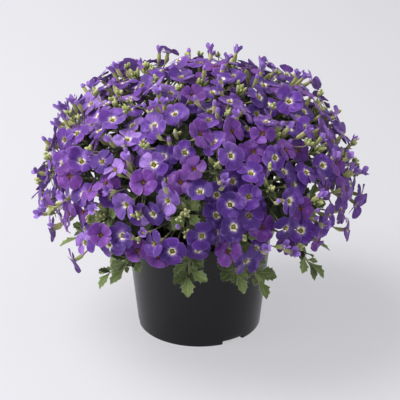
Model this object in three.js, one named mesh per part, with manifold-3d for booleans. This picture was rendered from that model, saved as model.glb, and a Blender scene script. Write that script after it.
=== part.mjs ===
// A potted aubrieta in flower: a nursery pot, its soil, flowering sprays and leafy shoots.
// Millimetres, +Z up. The origin is the middle of the pot's foot and the front faces -Y.
import * as THREE from 'three';
import { mergeVertices } from 'three/addons/utils/BufferGeometryUtils.js';
import Module from 'manifold-3d';

const wasm = await Module();
wasm.setup();

// Pot
const POT_HEIGHT = 90;
const FOOT_RADIUS = 50;
const WALL_TOP_RADIUS = 59.2;
const WALL = 1.5;
const RIM_RADIUS = 61;
const RIM_HEIGHT = 8;
const FOOT_RING_WIDTH = 3;
const FLOOR_RISE = 3;
const POT_SIDES = 40;
const NOTCH_COUNT = 3;
const NOTCH_LENGTH = 19.5;
const FIRST_NOTCH = degrees(33);
const DRAIN_COUNT = 6;
const DRAIN_RADIUS = 3.5;
const DRAIN_CIRCLE = 30;

// Soil
const SOIL_TOP = 80;
const SOIL_DOME = 3;
const SOIL_SIDES = 24;
const SOIL_CORNER = 1;
const GAP = 0.3;
const PLANT_DEPTH = 12;

// Mound of flowers, as a rounded dome about a centre above the pot
const MOUND_CENTRE_Z = 106;
const MOUND_RADIUS = 125;
const MOUND_RISE = 106;
const MOUND_ROUNDNESS = 2.4;

// Flowering sprays
const SPRAY_COUNT = 44;
const LOWEST_SPRAY = degrees(82);
const SPRAY_FOOT_RADIUS = 36;
const STEM_RADIUS = 1.3;
const STEM_RISE = 34;
const STEM_LEAN = 4;
const ARCH_STEPS = 4;
const SPRAY_TOP_RADIUS = 1.5;
const BENT_SHARE = 0.5;
const STRAIGHT_SHARE = 0.68;
const ROSETTE_SHARE = 0.72;
const TIP_SHARE = 0.96;
const ROSETTE_LEAVES = 5;
const LEAF_STAR_SHARE = 0.137;
const LEAF_STAR_CLEFT = 0.5;
const ROSETTE_CUP = 4;
const ROSETTE_HALF = 1;
const BUD_LENGTH = 7;
const BUD_RADIUS = 2.6;

// Flowers
const FLOWER_COUNT = 322;
const FLOWER_TURNS = 60000;
const LOWEST_FLOWER = degrees(88);
const FLOWER_SPACING = 12;
const PETAL_REACH = 8.9;
const PETAL_REACH_SPREAD = 2.2;
const DEEPEST_FLOWER = -11;
const HIGHEST_FLOWER = 4;
const DEEP_LEVEL = -2;
const FLOWER_TILT = 0.55;
const PETAL_HALF_ANGLE = 0.42;
const PETAL_CLEFT = 0.45;
const DEEP_CLEFT = 0.6;
const CALYX_RADIUS = 1.7;
const CALYX_DROP = 1.5;
const PETAL_DROP = 0.6;
const CLEFT_RISE = 0.2;
const EYE_RISE = 0.4;
const STALK_DROP = 12;
const STALK_SLANT = 0.5;
const STALK_PULL = 0.5;
const ROOT_ABOVE_LEAVES = 6;
const ROOT_BELOW_TIP = 4;
const ROOT_SPREAD = 7;
const TILT_UP = 0.2;

// Room that a new flower keeps from what is already there
const STALK_ROOM = 1.8;
const TIP_ROOM = 3;
const PETAL_ROOM = 2.2;
const PETAL_HALF_ROOM = 1.4;
const PETAL_EDGE_ROOM = 0.5;
const STALKS_APART = 3.4;
const FAR_APART = 60;
const NEARLY_LEVEL = 0.22;
const NEAR_COSINE = 0.6;
const STALK_SHARES = [0.1, 0.25, 0.4, 0.55, 0.7, 0.85, 1];
const TIP_STEPS = [6, 3, 0, -4, -8];

// Leafy shoots that hang over the rim
const SHOOT_LEAF_LENGTH = 19;
const SHOOT_LEAF_PLACES = [0.62, 0.72, 0.82, 0.92];
const SHOOT_LEAF_LEAST = 0.76;
const SHOOT_LEAF_GAIN = 0.06;
const SHOOT_FOOT_RADIUS = 44;
const SHOOT_END_RADIUS = 1;
const SHOOT_LEAN = 8;
const SHOOT_RISE = 22;
const SHOOT_ARCH = 17;
const SHOOT_STEPS = 5;
const LEAF_DROOP = 2.2;
const LEAF_RIDGE = 0.1;
const LEAF_KEEL = 1.1;
const LEAF_SPREAD = 1.1;
const UPPER_LEAF_RISE = 0.4;
const LOWER_LEAF_RISE = -0.1;
const END_LEAF_PLACE = 0.99;
const END_LEAF_LIFT = 0.9;
const LEAF_FACE_RISE = 0.9;

const GOLDEN_ANGLE = Math.PI * (3 - Math.sqrt(5));
const SEED = 25;

const MATERIALS = {
  pot: material(0x232226, 0.55),
  soil: material(0x3a2a1e, 0.95),
  violet: material(0x5a3a96, 0.7),
  green: material(0x5f7a3c, 0.75),
};

function material(color, roughness) {
  return new THREE.MeshStandardMaterial({ color, roughness, metalness: 0 });
}

function degrees(angle) {
  return (angle * Math.PI) / 180;
}

// A seeded draw of even numbers from 0 to 1
function drawFrom(seed) {
  let state = seed;
  return () => {
    state = (state + 0x6d2b79f5) | 0;
    let mixed = Math.imul(state ^ (state >>> 15), 1 | state);
    mixed = (mixed + Math.imul(mixed ^ (mixed >>> 7), 61 | mixed)) ^ mixed;
    return ((mixed ^ (mixed >>> 14)) >>> 0) / 4294967296;
  };
}

// Solids from points and triangles, and back
function solidOf(geometry) {
  const bare = geometry.clone();
  for (const name of Object.keys(bare.attributes)) {
    if (name !== 'position') {
      bare.deleteAttribute(name);
    }
  }
  const merged = mergeVertices(bare, 1e-4);
  return new wasm.Manifold(new wasm.Mesh({
    numProp: 3,
    vertProperties: new Float32Array(merged.attributes.position.array),
    triVerts: new Uint32Array(merged.index.array),
  }));
}

function solidFrom(points, triangles) {
  return new wasm.Manifold(new wasm.Mesh({
    numProp: 3,
    vertProperties: new Float32Array(points.flatMap((point) => point.toArray())),
    triVerts: new Uint32Array(triangles.flat()),
  }));
}

function meshOf(name, solid, look) {
  const { numProp, vertProperties, triVerts } = solid.getMesh();
  const positions = new Float32Array((vertProperties.length / numProp) * 3);
  for (let vertex = 0; vertex < vertProperties.length / numProp; vertex += 1) {
    for (let axis = 0; axis < 3; axis += 1) {
      positions[vertex * 3 + axis] = vertProperties[vertex * numProp + axis];
    }
  }
  const geometry = new THREE.BufferGeometry();
  geometry.setAttribute('position', new THREE.BufferAttribute(positions, 3));
  geometry.setIndex(new THREE.BufferAttribute(new Uint32Array(triVerts), 1));
  const mesh = new THREE.Mesh(geometry, look);
  mesh.name = name;
  return mesh;
}

function fused(solids) {
  return solids.reduce((joined, solid) => joined.add(solid));
}

// The triangles between two loops, each given as its first point's number and its count
function bridged(first, firstCount, second, secondCount) {
  const triangles = [];
  let here = 0;
  let there = 0;
  while (here < firstCount || there < secondCount) {
    const from = first + (here % firstCount);
    const to = second + (there % secondCount);
    const behind = (here + 0.5) / firstCount <= (there + 0.5) / secondCount;
    if (there >= secondCount || (here < firstCount && behind)) {
      here += 1;
      if (firstCount > 1) {
        triangles.push([from, first + (here % firstCount), to]);
      }
    } else {
      there += 1;
      if (secondCount > 1) {
        triangles.push([from, second + (there % secondCount), to]);
      }
    }
  }
  return triangles;
}

// A closed skin over loops of points that turn left about the way ahead; one point is a tip
function skinned(loops) {
  const starts = [];
  let count = 0;
  for (const loop of loops) {
    starts.push(count);
    count += loop.length;
  }
  const triangles = [];
  for (let index = 0; index + 1 < loops.length; index += 1) {
    const next = index + 1;
    triangles.push(...bridged(starts[index], loops[index].length, starts[next], loops[next].length));
  }
  const last = starts[starts.length - 1];
  for (let corner = 1; corner + 1 < loops[0].length; corner += 1) {
    triangles.push([0, corner + 1, corner]);
  }
  for (let corner = 1; corner + 1 < loops[loops.length - 1].length; corner += 1) {
    triangles.push([last, last + corner, last + corner + 1]);
  }
  return solidFrom(loops.flat(), triangles);
}

// Two directions square to a third one
function crossDirections(ahead) {
  const upright = Math.abs(ahead.z) > 0.9 ? new THREE.Vector3(1, 0, 0) : new THREE.Vector3(0, 0, 1);
  const across = new THREE.Vector3().crossVectors(upright, ahead).normalize();
  const over = new THREE.Vector3().crossVectors(ahead, across);
  return [across, over];
}

function ringAround(centre, [across, over], radius, sides) {
  return Array.from({ length: sides }, (_, side) => {
    const angle = (side / sides) * Math.PI * 2;
    return centre.clone()
      .addScaledVector(across, radius * Math.cos(angle))
      .addScaledVector(over, radius * Math.sin(angle));
  });
}

// The directions across a stem that stays in one upright plane through the pot's axis
function stemDirections(place, ahead) {
  const side = new THREE.Vector3(-place.y, place.x, 0).normalize();
  return [side, new THREE.Vector3().crossVectors(ahead, side).normalize()];
}

// The three-sided rings of a stem along points, thinner towards its tip
function stemRings(points, footRadius, tipRadius) {
  return points.map((point, index) => {
    const before = points[Math.max(index - 1, 0)];
    const after = points[Math.min(index + 1, points.length - 1)];
    const ahead = after.clone().sub(before).normalize();
    const radius = THREE.MathUtils.lerp(footRadius, tipRadius, index / (points.length - 1));
    return ringAround(point, stemDirections(point, ahead), radius, 3);
  });
}

// The pot: a turned shell with a rim, a raised floor, foot notches and drain holes
function pot() {
  const innerTop = WALL_TOP_RADIUS - WALL;
  const innerFoot = FOOT_RADIUS - WALL;
  const rimFoot = POT_HEIGHT - RIM_HEIGHT;
  const wallAtRim = THREE.MathUtils.lerp(FOOT_RADIUS, WALL_TOP_RADIUS, rimFoot / POT_HEIGHT);
  const profile = [
    [0, FLOOR_RISE],
    [FOOT_RADIUS - FOOT_RING_WIDTH, FLOOR_RISE],
    [FOOT_RADIUS - FOOT_RING_WIDTH, 0],
    [FOOT_RADIUS, 0],
    [wallAtRim, rimFoot],
    [RIM_RADIUS, rimFoot],
    [RIM_RADIUS, POT_HEIGHT],
    [innerTop, POT_HEIGHT],
    [innerFoot, FLOOR_RISE + WALL],
    [0, FLOOR_RISE + WALL],
  ].map(([radius, height]) => new THREE.Vector2(radius, height));
  const turned = new THREE.LatheGeometry(profile, POT_SIDES);
  turned.rotateX(Math.PI / 2);
  let body = solidOf(turned);
  for (let notch = 0; notch < NOTCH_COUNT; notch += 1) {
    const cutter = new THREE.BoxGeometry(NOTCH_LENGTH, 3 * FOOT_RING_WIDTH, 2 * FLOOR_RISE);
    cutter.translate(0, -(FOOT_RADIUS - FOOT_RING_WIDTH / 2), 0);
    cutter.rotateZ(FIRST_NOTCH + (notch / NOTCH_COUNT) * Math.PI * 2);
    body = body.subtract(solidOf(cutter));
  }
  for (let drain = 0; drain < DRAIN_COUNT; drain += 1) {
    const angle = ((drain + 0.5) / DRAIN_COUNT) * Math.PI * 2;
    const cutter = new THREE.CylinderGeometry(DRAIN_RADIUS, DRAIN_RADIUS, 6 * WALL, 6);
    cutter.rotateX(Math.PI / 2);
    cutter.translate(DRAIN_CIRCLE * Math.cos(angle), DRAIN_CIRCLE * Math.sin(angle), FLOOR_RISE);
    body = body.subtract(solidOf(cutter));
  }
  return body;
}

// The soil: fills the pot with a slightly domed top and has a plain hole for each stem
function soil(stems) {
  const slope = (WALL_TOP_RADIUS - FOOT_RADIUS) / POT_HEIGHT;
  const foot = FLOOR_RISE + WALL + GAP;
  const radiusAt = (height) => FOOT_RADIUS - WALL - GAP * 2 + slope * height;
  const profile = [
    [0, foot],
    [radiusAt(foot) - SOIL_CORNER, foot],
    [radiusAt(SOIL_TOP - SOIL_DOME), SOIL_TOP - SOIL_DOME],
    [0, SOIL_TOP],
  ].map(([radius, height]) => new THREE.Vector2(radius, height));
  const turned = new THREE.LatheGeometry(profile, SOIL_SIDES);
  turned.rotateX(Math.PI / 2);
  const holes = stems.map((stem) => {
    const low = stem.foot.clone().setZ(stem.foot.z - GAP);
    const high = stem.foot.clone().setZ(SOIL_TOP + PLANT_DEPTH);
    const around = stemDirections(stem.foot, new THREE.Vector3(0, 0, 1));
    return skinned([low, high].map((end) => ringAround(end, around, STEM_RADIUS + 2 * GAP, 3)));
  });
  return holes.reduce((body, hole) => body.subtract(hole), solidOf(turned));
}

// Directions and places on the mound
function directionOf(azimuth, polar) {
  return new THREE.Vector3(
    Math.sin(polar) * Math.sin(azimuth),
    -Math.sin(polar) * Math.cos(azimuth),
    Math.cos(polar),
  );
}

function moundRadius(direction) {
  const level = Math.hypot(direction.x, direction.y) / MOUND_RADIUS;
  const rise = Math.abs(direction.z) / MOUND_RISE;
  return (level ** MOUND_ROUNDNESS + rise ** MOUND_ROUNDNESS) ** (-1 / MOUND_ROUNDNESS);
}

function moundPlace(direction, radius) {
  return direction.clone().multiplyScalar(radius).add(new THREE.Vector3(0, 0, MOUND_CENTRE_Z));
}

// A stem's line: up out of the soil, over in its own upright plane, then straight outwards
function stemLine(direction, footRadius, reach) {
  const level = Math.hypot(direction.x, direction.y);
  const outward = new THREE.Vector3(direction.x / level, direction.y / level, 0);
  const foot = outward.clone().multiplyScalar(footRadius).setZ(SOIL_TOP - PLANT_DEPTH);
  const surface = foot.clone().setZ(SOIL_TOP);
  const bend = surface.clone().addScaledVector(outward, STEM_LEAN).setZ(SOIL_TOP + STEM_RISE);
  const inner = moundPlace(direction, reach * BENT_SHARE);
  const outer = moundPlace(direction, reach * STRAIGHT_SHARE);
  const arch = new THREE.CubicBezierCurve3(surface, bend, inner, outer).getPoints(ARCH_STEPS).slice(0, -1);
  return { foot, points: [foot, ...arch, moundPlace(direction, reach * TIP_SHARE)] };
}

// Flowering sprays stand evenly over the mound, each with its foot on the same side of the pot
function sprayPlan() {
  return Array.from({ length: SPRAY_COUNT }, (_, index) => {
    const share = (index + 0.5) / SPRAY_COUNT;
    const polar = Math.acos(1 - share * (1 - Math.cos(LOWEST_SPRAY)));
    const direction = directionOf(index * GOLDEN_ANGLE, polar);
    const reach = moundRadius(direction);
    const line = stemLine(direction, SPRAY_FOOT_RADIUS * Math.sqrt(share), reach);
    return { direction, reach, rosette: reach * ROSETTE_SHARE, tip: reach * TIP_SHARE, ...line };
  });
}

// Flowers that stand out of the mound: azimuth from the front, angle from upright, height above it
const OUTLIERS = [
  [-160, 36, 9],
  [120, 52, 10],
  [-125, 50, 7],
  [-90, 86, 2],
  [90, 88, 5],
  [-66, 91, 0],
  [-50, 97, 0],
  [66, 91, 0],
];

// Where one flower's middle is, where it faces and where its stalk leaves the spray
function flowerAt(direction, level, draw, sprays) {
  const radius = moundRadius(direction) + level;
  const centre = moundPlace(direction, radius);
  const spray = sprays.reduce((best, other) => (
    other.direction.dot(direction) > best.direction.dot(direction) ? other : best
  ));
  const aside = radius * Math.acos(Math.min(1, spray.direction.dot(direction)));
  const branching = radius - STALK_DROP - STALK_SLANT * aside;
  const stray = ROOT_SPREAD * draw();
  const lowest = spray.rosette + ROOT_ABOVE_LEAVES + stray;
  const highest = spray.tip - ROOT_BELOW_TIP - stray;
  const rootRadius = Math.min(Math.max(branching, lowest), highest);
  const root = moundPlace(spray.direction, rootRadius);
  const stalk = centre.clone().sub(root).normalize();
  const facing = direction.clone().addScaledVector(stalk, STALK_PULL);
  facing.x += (draw() - 0.5) * 2 * FLOWER_TILT;
  facing.y += (draw() - 0.5) * 2 * FLOWER_TILT;
  facing.z += (draw() - 0.5 + TILT_UP) * 2 * FLOWER_TILT;
  facing.normalize();
  const reach = PETAL_REACH + PETAL_REACH_SPREAD * draw();
  const turn = draw() * Math.PI;
  return { centre, facing, reach, turn, root, spray, deep: level < DEEP_LEVEL };
}

// Whether the round spaces that two flowers turn in cross each other
function discsCross(one, other) {
  const between = other.centre.clone().sub(one.centre);
  const reachOne = one.reach + PETAL_EDGE_ROOM;
  const reachOther = other.reach + PETAL_EDGE_ROOM;
  if (between.length() > reachOne + reachOther) {
    return false;
  }
  const line = new THREE.Vector3().crossVectors(one.facing, other.facing);
  const slant = line.length();
  const rise = Math.abs(between.dot(one.facing));
  if (slant < NEARLY_LEVEL) {
    return rise < PETAL_ROOM + slant * reachOther;
  }
  line.normalize();
  const towardsOther = new THREE.Vector3().crossVectors(line, one.facing);
  const stepOne = between.dot(other.facing) / towardsOther.dot(other.facing);
  const towardsOne = new THREE.Vector3().crossVectors(line, other.facing);
  const stepOther = -between.dot(one.facing) / towardsOne.dot(one.facing);
  const chordOne = reachOne ** 2 - stepOne ** 2;
  const chordOther = reachOther ** 2 - stepOther ** 2;
  if (chordOne <= 0 || chordOther <= 0) {
    return false;
  }
  return Math.abs(between.dot(line)) < Math.sqrt(chordOne) + Math.sqrt(chordOther);
}

// Whether a stalk or bud, given as points, comes too near a flower's disc
function discMeets(flower, points, room) {
  return points.some((point) => {
    const offset = point.clone().sub(flower.centre);
    const rise = offset.dot(flower.facing);
    if (Math.abs(rise) > room + PETAL_HALF_ROOM) {
      return false;
    }
    return offset.lengthSq() - rise * rise < (flower.reach + room) ** 2;
  });
}

function stalkPoints(flower) {
  return STALK_SHARES.map((share) => (
    flower.centre.clone().lerp(flower.root, share)
  ));
}

function tipPoints(spray) {
  return TIP_STEPS.map((beyond) => moundPlace(spray.direction, spray.tip + beyond));
}

function clearOf(flower, others, sprays) {
  const stalk = stalkPoints(flower);
  const near = sprays.filter((spray) => spray.direction.dot(flower.spray.direction) > NEAR_COSINE);
  if (near.some((spray) => discMeets(flower, tipPoints(spray), TIP_ROOM))) {
    return false;
  }
  return others.every((other) => {
    const apart = other.centre.distanceTo(flower.centre);
    if (apart < FLOWER_SPACING) {
      return false;
    }
    if (apart > FAR_APART) {
      return true;
    }
    if (discsCross(flower, other)) {
      return false;
    }
    const otherStalk = stalkPoints(other);
    if (discMeets(flower, otherStalk, STALK_ROOM) || discMeets(other, stalk, STALK_ROOM)) {
      return false;
    }
    const sameSpray = other.spray === flower.spray;
    return sameSpray || stalk.every((point) => (
      otherStalk.every((otherPoint) => point.distanceTo(otherPoint) > STALKS_APART)
    ));
  });
}

// The outliers first, then seeded draws that keep clear of what is there
function sownFlowers(sprays) {
  const draw = drawFrom(SEED);
  const flowers = OUTLIERS.map(([azimuth, polar, level]) => (
    flowerAt(directionOf(degrees(azimuth), degrees(polar)), level, draw, sprays)
  ));
  for (let turn = 0; turn < FLOWER_TURNS && flowers.length < FLOWER_COUNT; turn += 1) {
    const polar = Math.acos(1 - draw() * (1 - Math.cos(LOWEST_FLOWER)));
    const direction = directionOf(draw() * Math.PI * 2, polar);
    const level = THREE.MathUtils.lerp(DEEPEST_FLOWER, HIGHEST_FLOWER, draw());
    const flower = flowerAt(direction, level, draw, sprays);
    if (clearOf(flower, flowers, sprays)) {
      flowers.push(flower);
    }
  }
  return flowers;
}

// A place given by radius and angle across a middle, and by height along its way ahead
function spotOn(centre, ahead, [across, over]) {
  return (radius, angle, rise) => centre.clone()
    .addScaledVector(across, radius * Math.cos(angle))
    .addScaledVector(over, radius * Math.sin(angle))
    .addScaledVector(ahead, rise);
}

// One flower: four petals round a calyx that narrows into its stalk, down to a point. Petals have
// blunt ends, or come to one point each where the flower is deep in the mound
function flowerSolid(flower) {
  const around = crossDirections(flower.facing);
  const spot = spotOn(flower.centre, flower.facing, around);
  const ends = flower.deep ? [0] : [-PETAL_HALF_ANGLE, PETAL_HALF_ANGLE];
  const cleft = flower.reach * (flower.deep ? DEEP_CLEFT : PETAL_CLEFT);
  const outline = [0, 1, 2, 3].flatMap((petal) => {
    const middle = flower.turn + (petal * Math.PI) / 2;
    return [
      ...ends.map((end) => spot(flower.reach, middle + end, -PETAL_DROP)),
      spot(cleft, middle + Math.PI / 4, CLEFT_RISE),
    ];
  });
  const calyx = [0, 1, 2].map((corner) => (
    spot(CALYX_RADIUS, flower.turn + (corner * Math.PI * 2) / 3, -CALYX_DROP)
  ));
  return skinned([[flower.root], calyx, outline, [spot(0, 0, EYE_RISE)]]);
}

// The outline of the leaves under a spray's flowers: a cupped star of pointed leaves
function rosetteOutline(centre, ahead, radius) {
  const spot = spotOn(centre, ahead, stemDirections(centre, ahead));
  const half = Math.PI / ROSETTE_LEAVES;
  return Array.from({ length: ROSETTE_LEAVES }, (_, leaf) => leaf * 2 * half).flatMap((middle) => [
    spot(radius, middle, ROSETTE_CUP),
    spot(radius * LEAF_STAR_CLEFT, middle + half, 0),
  ]);
}

// A spray: one skin over its stem, its star of leaves and its top bud, with flowers joined on
function spraySolid(spray, flowers) {
  const ahead = spray.direction;
  const at = (radius) => moundPlace(ahead, radius);
  const around = stemDirections(at(spray.rosette), ahead);
  const rings = stemRings(spray.points, STEM_RADIUS, SPRAY_TOP_RADIUS);
  const top = rings.pop();
  const stem = skinned([
    ...rings,
    ringAround(at(spray.rosette - ROSETTE_HALF), around, STEM_RADIUS, 3),
    rosetteOutline(at(spray.rosette), ahead, spray.reach * LEAF_STAR_SHARE),
    ringAround(at(spray.rosette + ROSETTE_HALF), around, STEM_RADIUS, 3),
    top,
    ringAround(at(spray.tip + BUD_LENGTH / 2), around, BUD_RADIUS, 3),
    [at(spray.tip + BUD_LENGTH)],
  ]);
  return fused([stem, ...flowers.map(flowerSolid)]);
}

// Leafy shoots over the rim: azimuth from the front, reach from the pot's axis, height of the
// tip, and how far it sweeps sideways
const SHOOTS = [
  [-80, 96, 76, -10],
  [-57, 86, 68, 8],
  [-33, 84, 76, -14],
  [-9, 80, 77, 5],
  [13, 84, 79, 10],
  [36, 84, 70, -6],
  [60, 92, 66, 14],
  [92, 90, 74, -12],
  [127, 88, 68, 10],
  [163, 90, 76, -8],
  [-155, 86, 70, 12],
  [-118, 92, 72, -8],
];

function shootLine([azimuth, reach, height, sweep]) {
  const outward = directionOf(degrees(azimuth), Math.PI / 2);
  const sideways = new THREE.Vector3(-outward.y, outward.x, 0);
  const at = (radius, z, aside) => (
    outward.clone().multiplyScalar(radius).addScaledVector(sideways, aside).setZ(z)
  );
  const foot = at(SHOOT_FOOT_RADIUS, SOIL_TOP - PLANT_DEPTH, 0);
  const line = new THREE.CubicBezierCurve3(
    at(SHOOT_FOOT_RADIUS, SOIL_TOP, 0),
    at(SHOOT_FOOT_RADIUS + SHOOT_LEAN, SOIL_TOP + SHOOT_RISE, 0),
    at(reach - SHOOT_ARCH, SOIL_TOP + SHOOT_ARCH, sweep / 2),
    at(reach, height, sweep),
  ).getPoints(SHOOT_STEPS);
  return { foot, line, outward, sideways };
}

// One toothed leaf: its outline from base to tip and back, as shares of its length
const LEAF_EDGE = [
  [0.4, 0.18],
  [0.6, 0.32],
  [0.7, 0.2],
];

function leafSolid(base, ahead, face, length) {
  const side = new THREE.Vector3().crossVectors(face, ahead).normalize();
  const over = new THREE.Vector3().crossVectors(ahead, side);
  const droop = (along) => -LEAF_DROOP * along * along;
  const spot = (along, aside, rise) => base.clone()
    .addScaledVector(ahead, along * length)
    .addScaledVector(side, aside * length)
    .addScaledVector(over, rise);
  const near = LEAF_EDGE.map(([along, aside]) => spot(along, -aside, droop(along)));
  const far = LEAF_EDGE.map(([along, aside]) => spot(along, aside, droop(along))).reverse();
  const outline = [spot(0, 0, 0), ...near, spot(1, 0, droop(1)), ...far];
  return skinned([[spot(0.5, 0, -LEAF_KEEL)], outline, [spot(0.5, 0, LEAF_RIDGE)]]);
}

// A place on a bent line of points, and the way ahead there
function placeOnLine(points, share) {
  const steps = points.length - 1;
  const step = Math.min(Math.floor(share * steps), steps - 1);
  const place = points[step].clone().lerp(points[step + 1], share * steps - step);
  return { place, ahead: points[step + 1].clone().sub(points[step]).normalize() };
}

function shootSolid(plan, index) {
  const { foot, line, outward, sideways } = shootLine(plan);
  const stem = skinned(stemRings([foot, ...line], STEM_RADIUS, SHOOT_END_RADIUS));
  const leaves = SHOOT_LEAF_PLACES.map((share, order) => {
    const { place, ahead } = placeOnLine(line, share);
    const hand = (order + index) % 2 === 0 ? 1 : -1;
    const lean = ahead.addScaledVector(sideways, hand * LEAF_SPREAD);
    lean.z += order % 3 === 0 ? UPPER_LEAF_RISE : LOWER_LEAF_RISE;
    const length = SHOOT_LEAF_LENGTH * (SHOOT_LEAF_LEAST + SHOOT_LEAF_GAIN * order);
    return leafSolid(place, lean.normalize(), leafFace(outward, lean), length);
  });
  const { place, ahead } = placeOnLine(line, END_LEAF_PLACE);
  ahead.addScaledVector(outward, END_LEAF_LIFT).normalize();
  leaves.push(leafSolid(place, ahead, leafFace(outward, ahead), SHOOT_LEAF_LENGTH));
  return fused([stem, ...leaves]);
}

// A hanging leaf shows its upper face outwards and up
function leafFace(outward, ahead) {
  const face = outward.clone().setZ(LEAF_FACE_RISE);
  return face.addScaledVector(ahead, -face.dot(ahead)).normalize();
}

function numbered(stem, index) {
  return `${stem}_${String(index + 1).padStart(2, '0')}`;
}

const sprays = sprayPlan();
const flowers = sownFlowers(sprays);
const plant = new THREE.Group();
plant.add(meshOf('pot', pot(), MATERIALS.pot));
plant.add(meshOf('soil', soil([...sprays, ...SHOOTS.map(shootLine)]), MATERIALS.soil));
sprays.forEach((spray, index) => {
  const own = flowers.filter((flower) => flower.spray === spray);
  plant.add(meshOf(numbered('spray', index), spraySolid(spray, own), MATERIALS.violet));
});
SHOOTS.forEach((plan, index) => {
  plant.add(meshOf(numbered('shoot', index), shootSolid(plan, index), MATERIALS.green));
});

export default plant;
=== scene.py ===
"""The looks of a potted aubrieta: a mound of violet flowers over a black nursery pot.

Shapes are worked out in millimetres by the same rules as the solid model, and made in metres.
"""

import math

import bpy
import numpy as np
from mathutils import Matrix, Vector


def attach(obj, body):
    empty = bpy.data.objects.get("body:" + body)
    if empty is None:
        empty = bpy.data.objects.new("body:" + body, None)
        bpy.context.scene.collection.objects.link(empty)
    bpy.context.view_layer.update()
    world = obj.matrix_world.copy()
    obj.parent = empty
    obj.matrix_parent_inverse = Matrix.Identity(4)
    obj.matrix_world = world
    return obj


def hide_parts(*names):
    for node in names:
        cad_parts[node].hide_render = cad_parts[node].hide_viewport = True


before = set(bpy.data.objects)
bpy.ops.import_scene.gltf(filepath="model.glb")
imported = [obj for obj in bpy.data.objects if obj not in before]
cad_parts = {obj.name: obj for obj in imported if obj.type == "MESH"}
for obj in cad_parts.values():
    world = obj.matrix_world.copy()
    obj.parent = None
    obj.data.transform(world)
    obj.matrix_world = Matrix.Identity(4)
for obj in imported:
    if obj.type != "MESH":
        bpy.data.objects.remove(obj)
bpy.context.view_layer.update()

MM = 0.001
UP = np.array([0.0, 0.0, 1.0])

# Pot, as in the solid model
POT_HEIGHT = 90
FOOT_RADIUS = 50
WALL_TOP_RADIUS = 59.2
WALL = 1.5
RIM_RADIUS = 61
RIM_HEIGHT = 8
FOOT_RING_WIDTH = 3
FLOOR_RISE = 3
NOTCH_COUNT = 3
NOTCH_LENGTH = 19.5
FIRST_NOTCH = math.radians(33)
SOIL_TOP = 80
PLANT_DEPTH = 12

# Mound, sprays and flowers, as in the solid model
MOUND_CENTRE = np.array([0.0, 0.0, 106.0])
MOUND_RADIUS = 125
MOUND_RISE = 106
MOUND_ROUNDNESS = 2.4
SPRAY_COUNT = 44
LOWEST_SPRAY = math.radians(82)
SPRAY_FOOT_RADIUS = 36
STEM_RISE = 34
STEM_LEAN = 4
BENT_SHARE = 0.5
STRAIGHT_SHARE = 0.68
ROSETTE_SHARE = 0.72
TIP_SHARE = 0.96
LEAF_STAR_SHARE = 0.137
ROSETTE_LEAVES = 5
FLOWER_COUNT = 322
FLOWER_TURNS = 60000
LOWEST_FLOWER = math.radians(88)
FLOWER_SPACING = 12
PETAL_REACH = 8.9
PETAL_REACH_SPREAD = 2.2
DEEPEST_FLOWER = -11
HIGHEST_FLOWER = 4
FLOWER_TILT = 0.55
STALK_DROP = 12
STALK_SLANT = 0.5
STALK_PULL = 0.5
ROOT_ABOVE_LEAVES = 6
ROOT_BELOW_TIP = 4
ROOT_SPREAD = 7
TILT_UP = 0.2
STALK_ROOM = 1.8
TIP_ROOM = 3
PETAL_ROOM = 2.2
PETAL_HALF_ROOM = 1.4
PETAL_EDGE_ROOM = 0.5
STALKS_APART = 3.4
FAR_APART = 60
NEARLY_LEVEL = 0.22
NEAR_COSINE = 0.6
STALK_SHARES = np.array([0.1, 0.25, 0.4, 0.55, 0.7, 0.85, 1])
TIP_STEPS = np.array([6, 3, 0, -4, -8])
GOLDEN_ANGLE = math.pi * (3 - math.sqrt(5))
SEED = 25

# Flowers that stand out of the outline: azimuth and angle from upright in degrees, level
OUTLIERS = [
    (-160, 36, 9),
    (120, 52, 10),
    (-125, 50, 7),
    (-90, 86, 2),
    (90, 88, 5),
    (-66, 91, 0),
    (-50, 97, 0),
    (66, 91, 0),
]

# Leafy shoots, as in the solid model
SHOOT_LEAF_LENGTH = 19
SHOOT_LEAF_PLACES = [0.62, 0.72, 0.82, 0.92]
SHOOT_LEAF_LEAST = 0.76
SHOOT_LEAF_GAIN = 0.06
SHOOT_FOOT_RADIUS = 44
SHOOT_LEAN = 8
SHOOT_RISE = 22
SHOOT_ARCH = 17
LEAF_SPREAD = 1.1
UPPER_LEAF_RISE = 0.4
LOWER_LEAF_RISE = -0.1
END_LEAF_LIFT = 0.9
LEAF_FACE_RISE = 0.9

# Each shoot: azimuth in degrees, reach from the axis, height of the tip, sweep
SHOOTS = [
    (-80, 96, 76, -10),
    (-57, 86, 68, 8),
    (-33, 84, 76, -14),
    (-9, 80, 77, 5),
    (13, 84, 79, 10),
    (36, 84, 70, -6),
    (60, 92, 66, 14),
    (92, 90, 74, -12),
    (127, 88, 68, 10),
    (163, 90, 76, -8),
    (-155, 86, 70, 12),
    (-118, 92, 72, -8),
]


def draw_from(seed):
    """A seeded draw of even numbers from 0 to 1, the same as the solid model's."""
    state = seed
    mask = 0xFFFFFFFF

    def draw():
        nonlocal state
        state = (state + 0x6D2B79F5) & mask
        mixed = ((state ^ (state >> 15)) * (1 | state)) & mask
        mixed = ((mixed + (((mixed ^ (mixed >> 7)) * (61 | mixed)) & mask)) & mask) ^ mixed
        return (mixed ^ (mixed >> 14)) / 4294967296

    return draw


def unit(vector):
    return vector / np.linalg.norm(vector)


def direction_of(azimuth, polar):
    level = math.sin(polar)
    return np.array([level * math.sin(azimuth), -level * math.cos(azimuth), math.cos(polar)])


def mound_radius(direction):
    level = math.hypot(direction[0], direction[1]) / MOUND_RADIUS
    rise = abs(direction[2]) / MOUND_RISE
    return (level**MOUND_ROUNDNESS + rise**MOUND_ROUNDNESS) ** (-1 / MOUND_ROUNDNESS)


def mound_place(direction, radius):
    return MOUND_CENTRE + direction * radius


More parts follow.
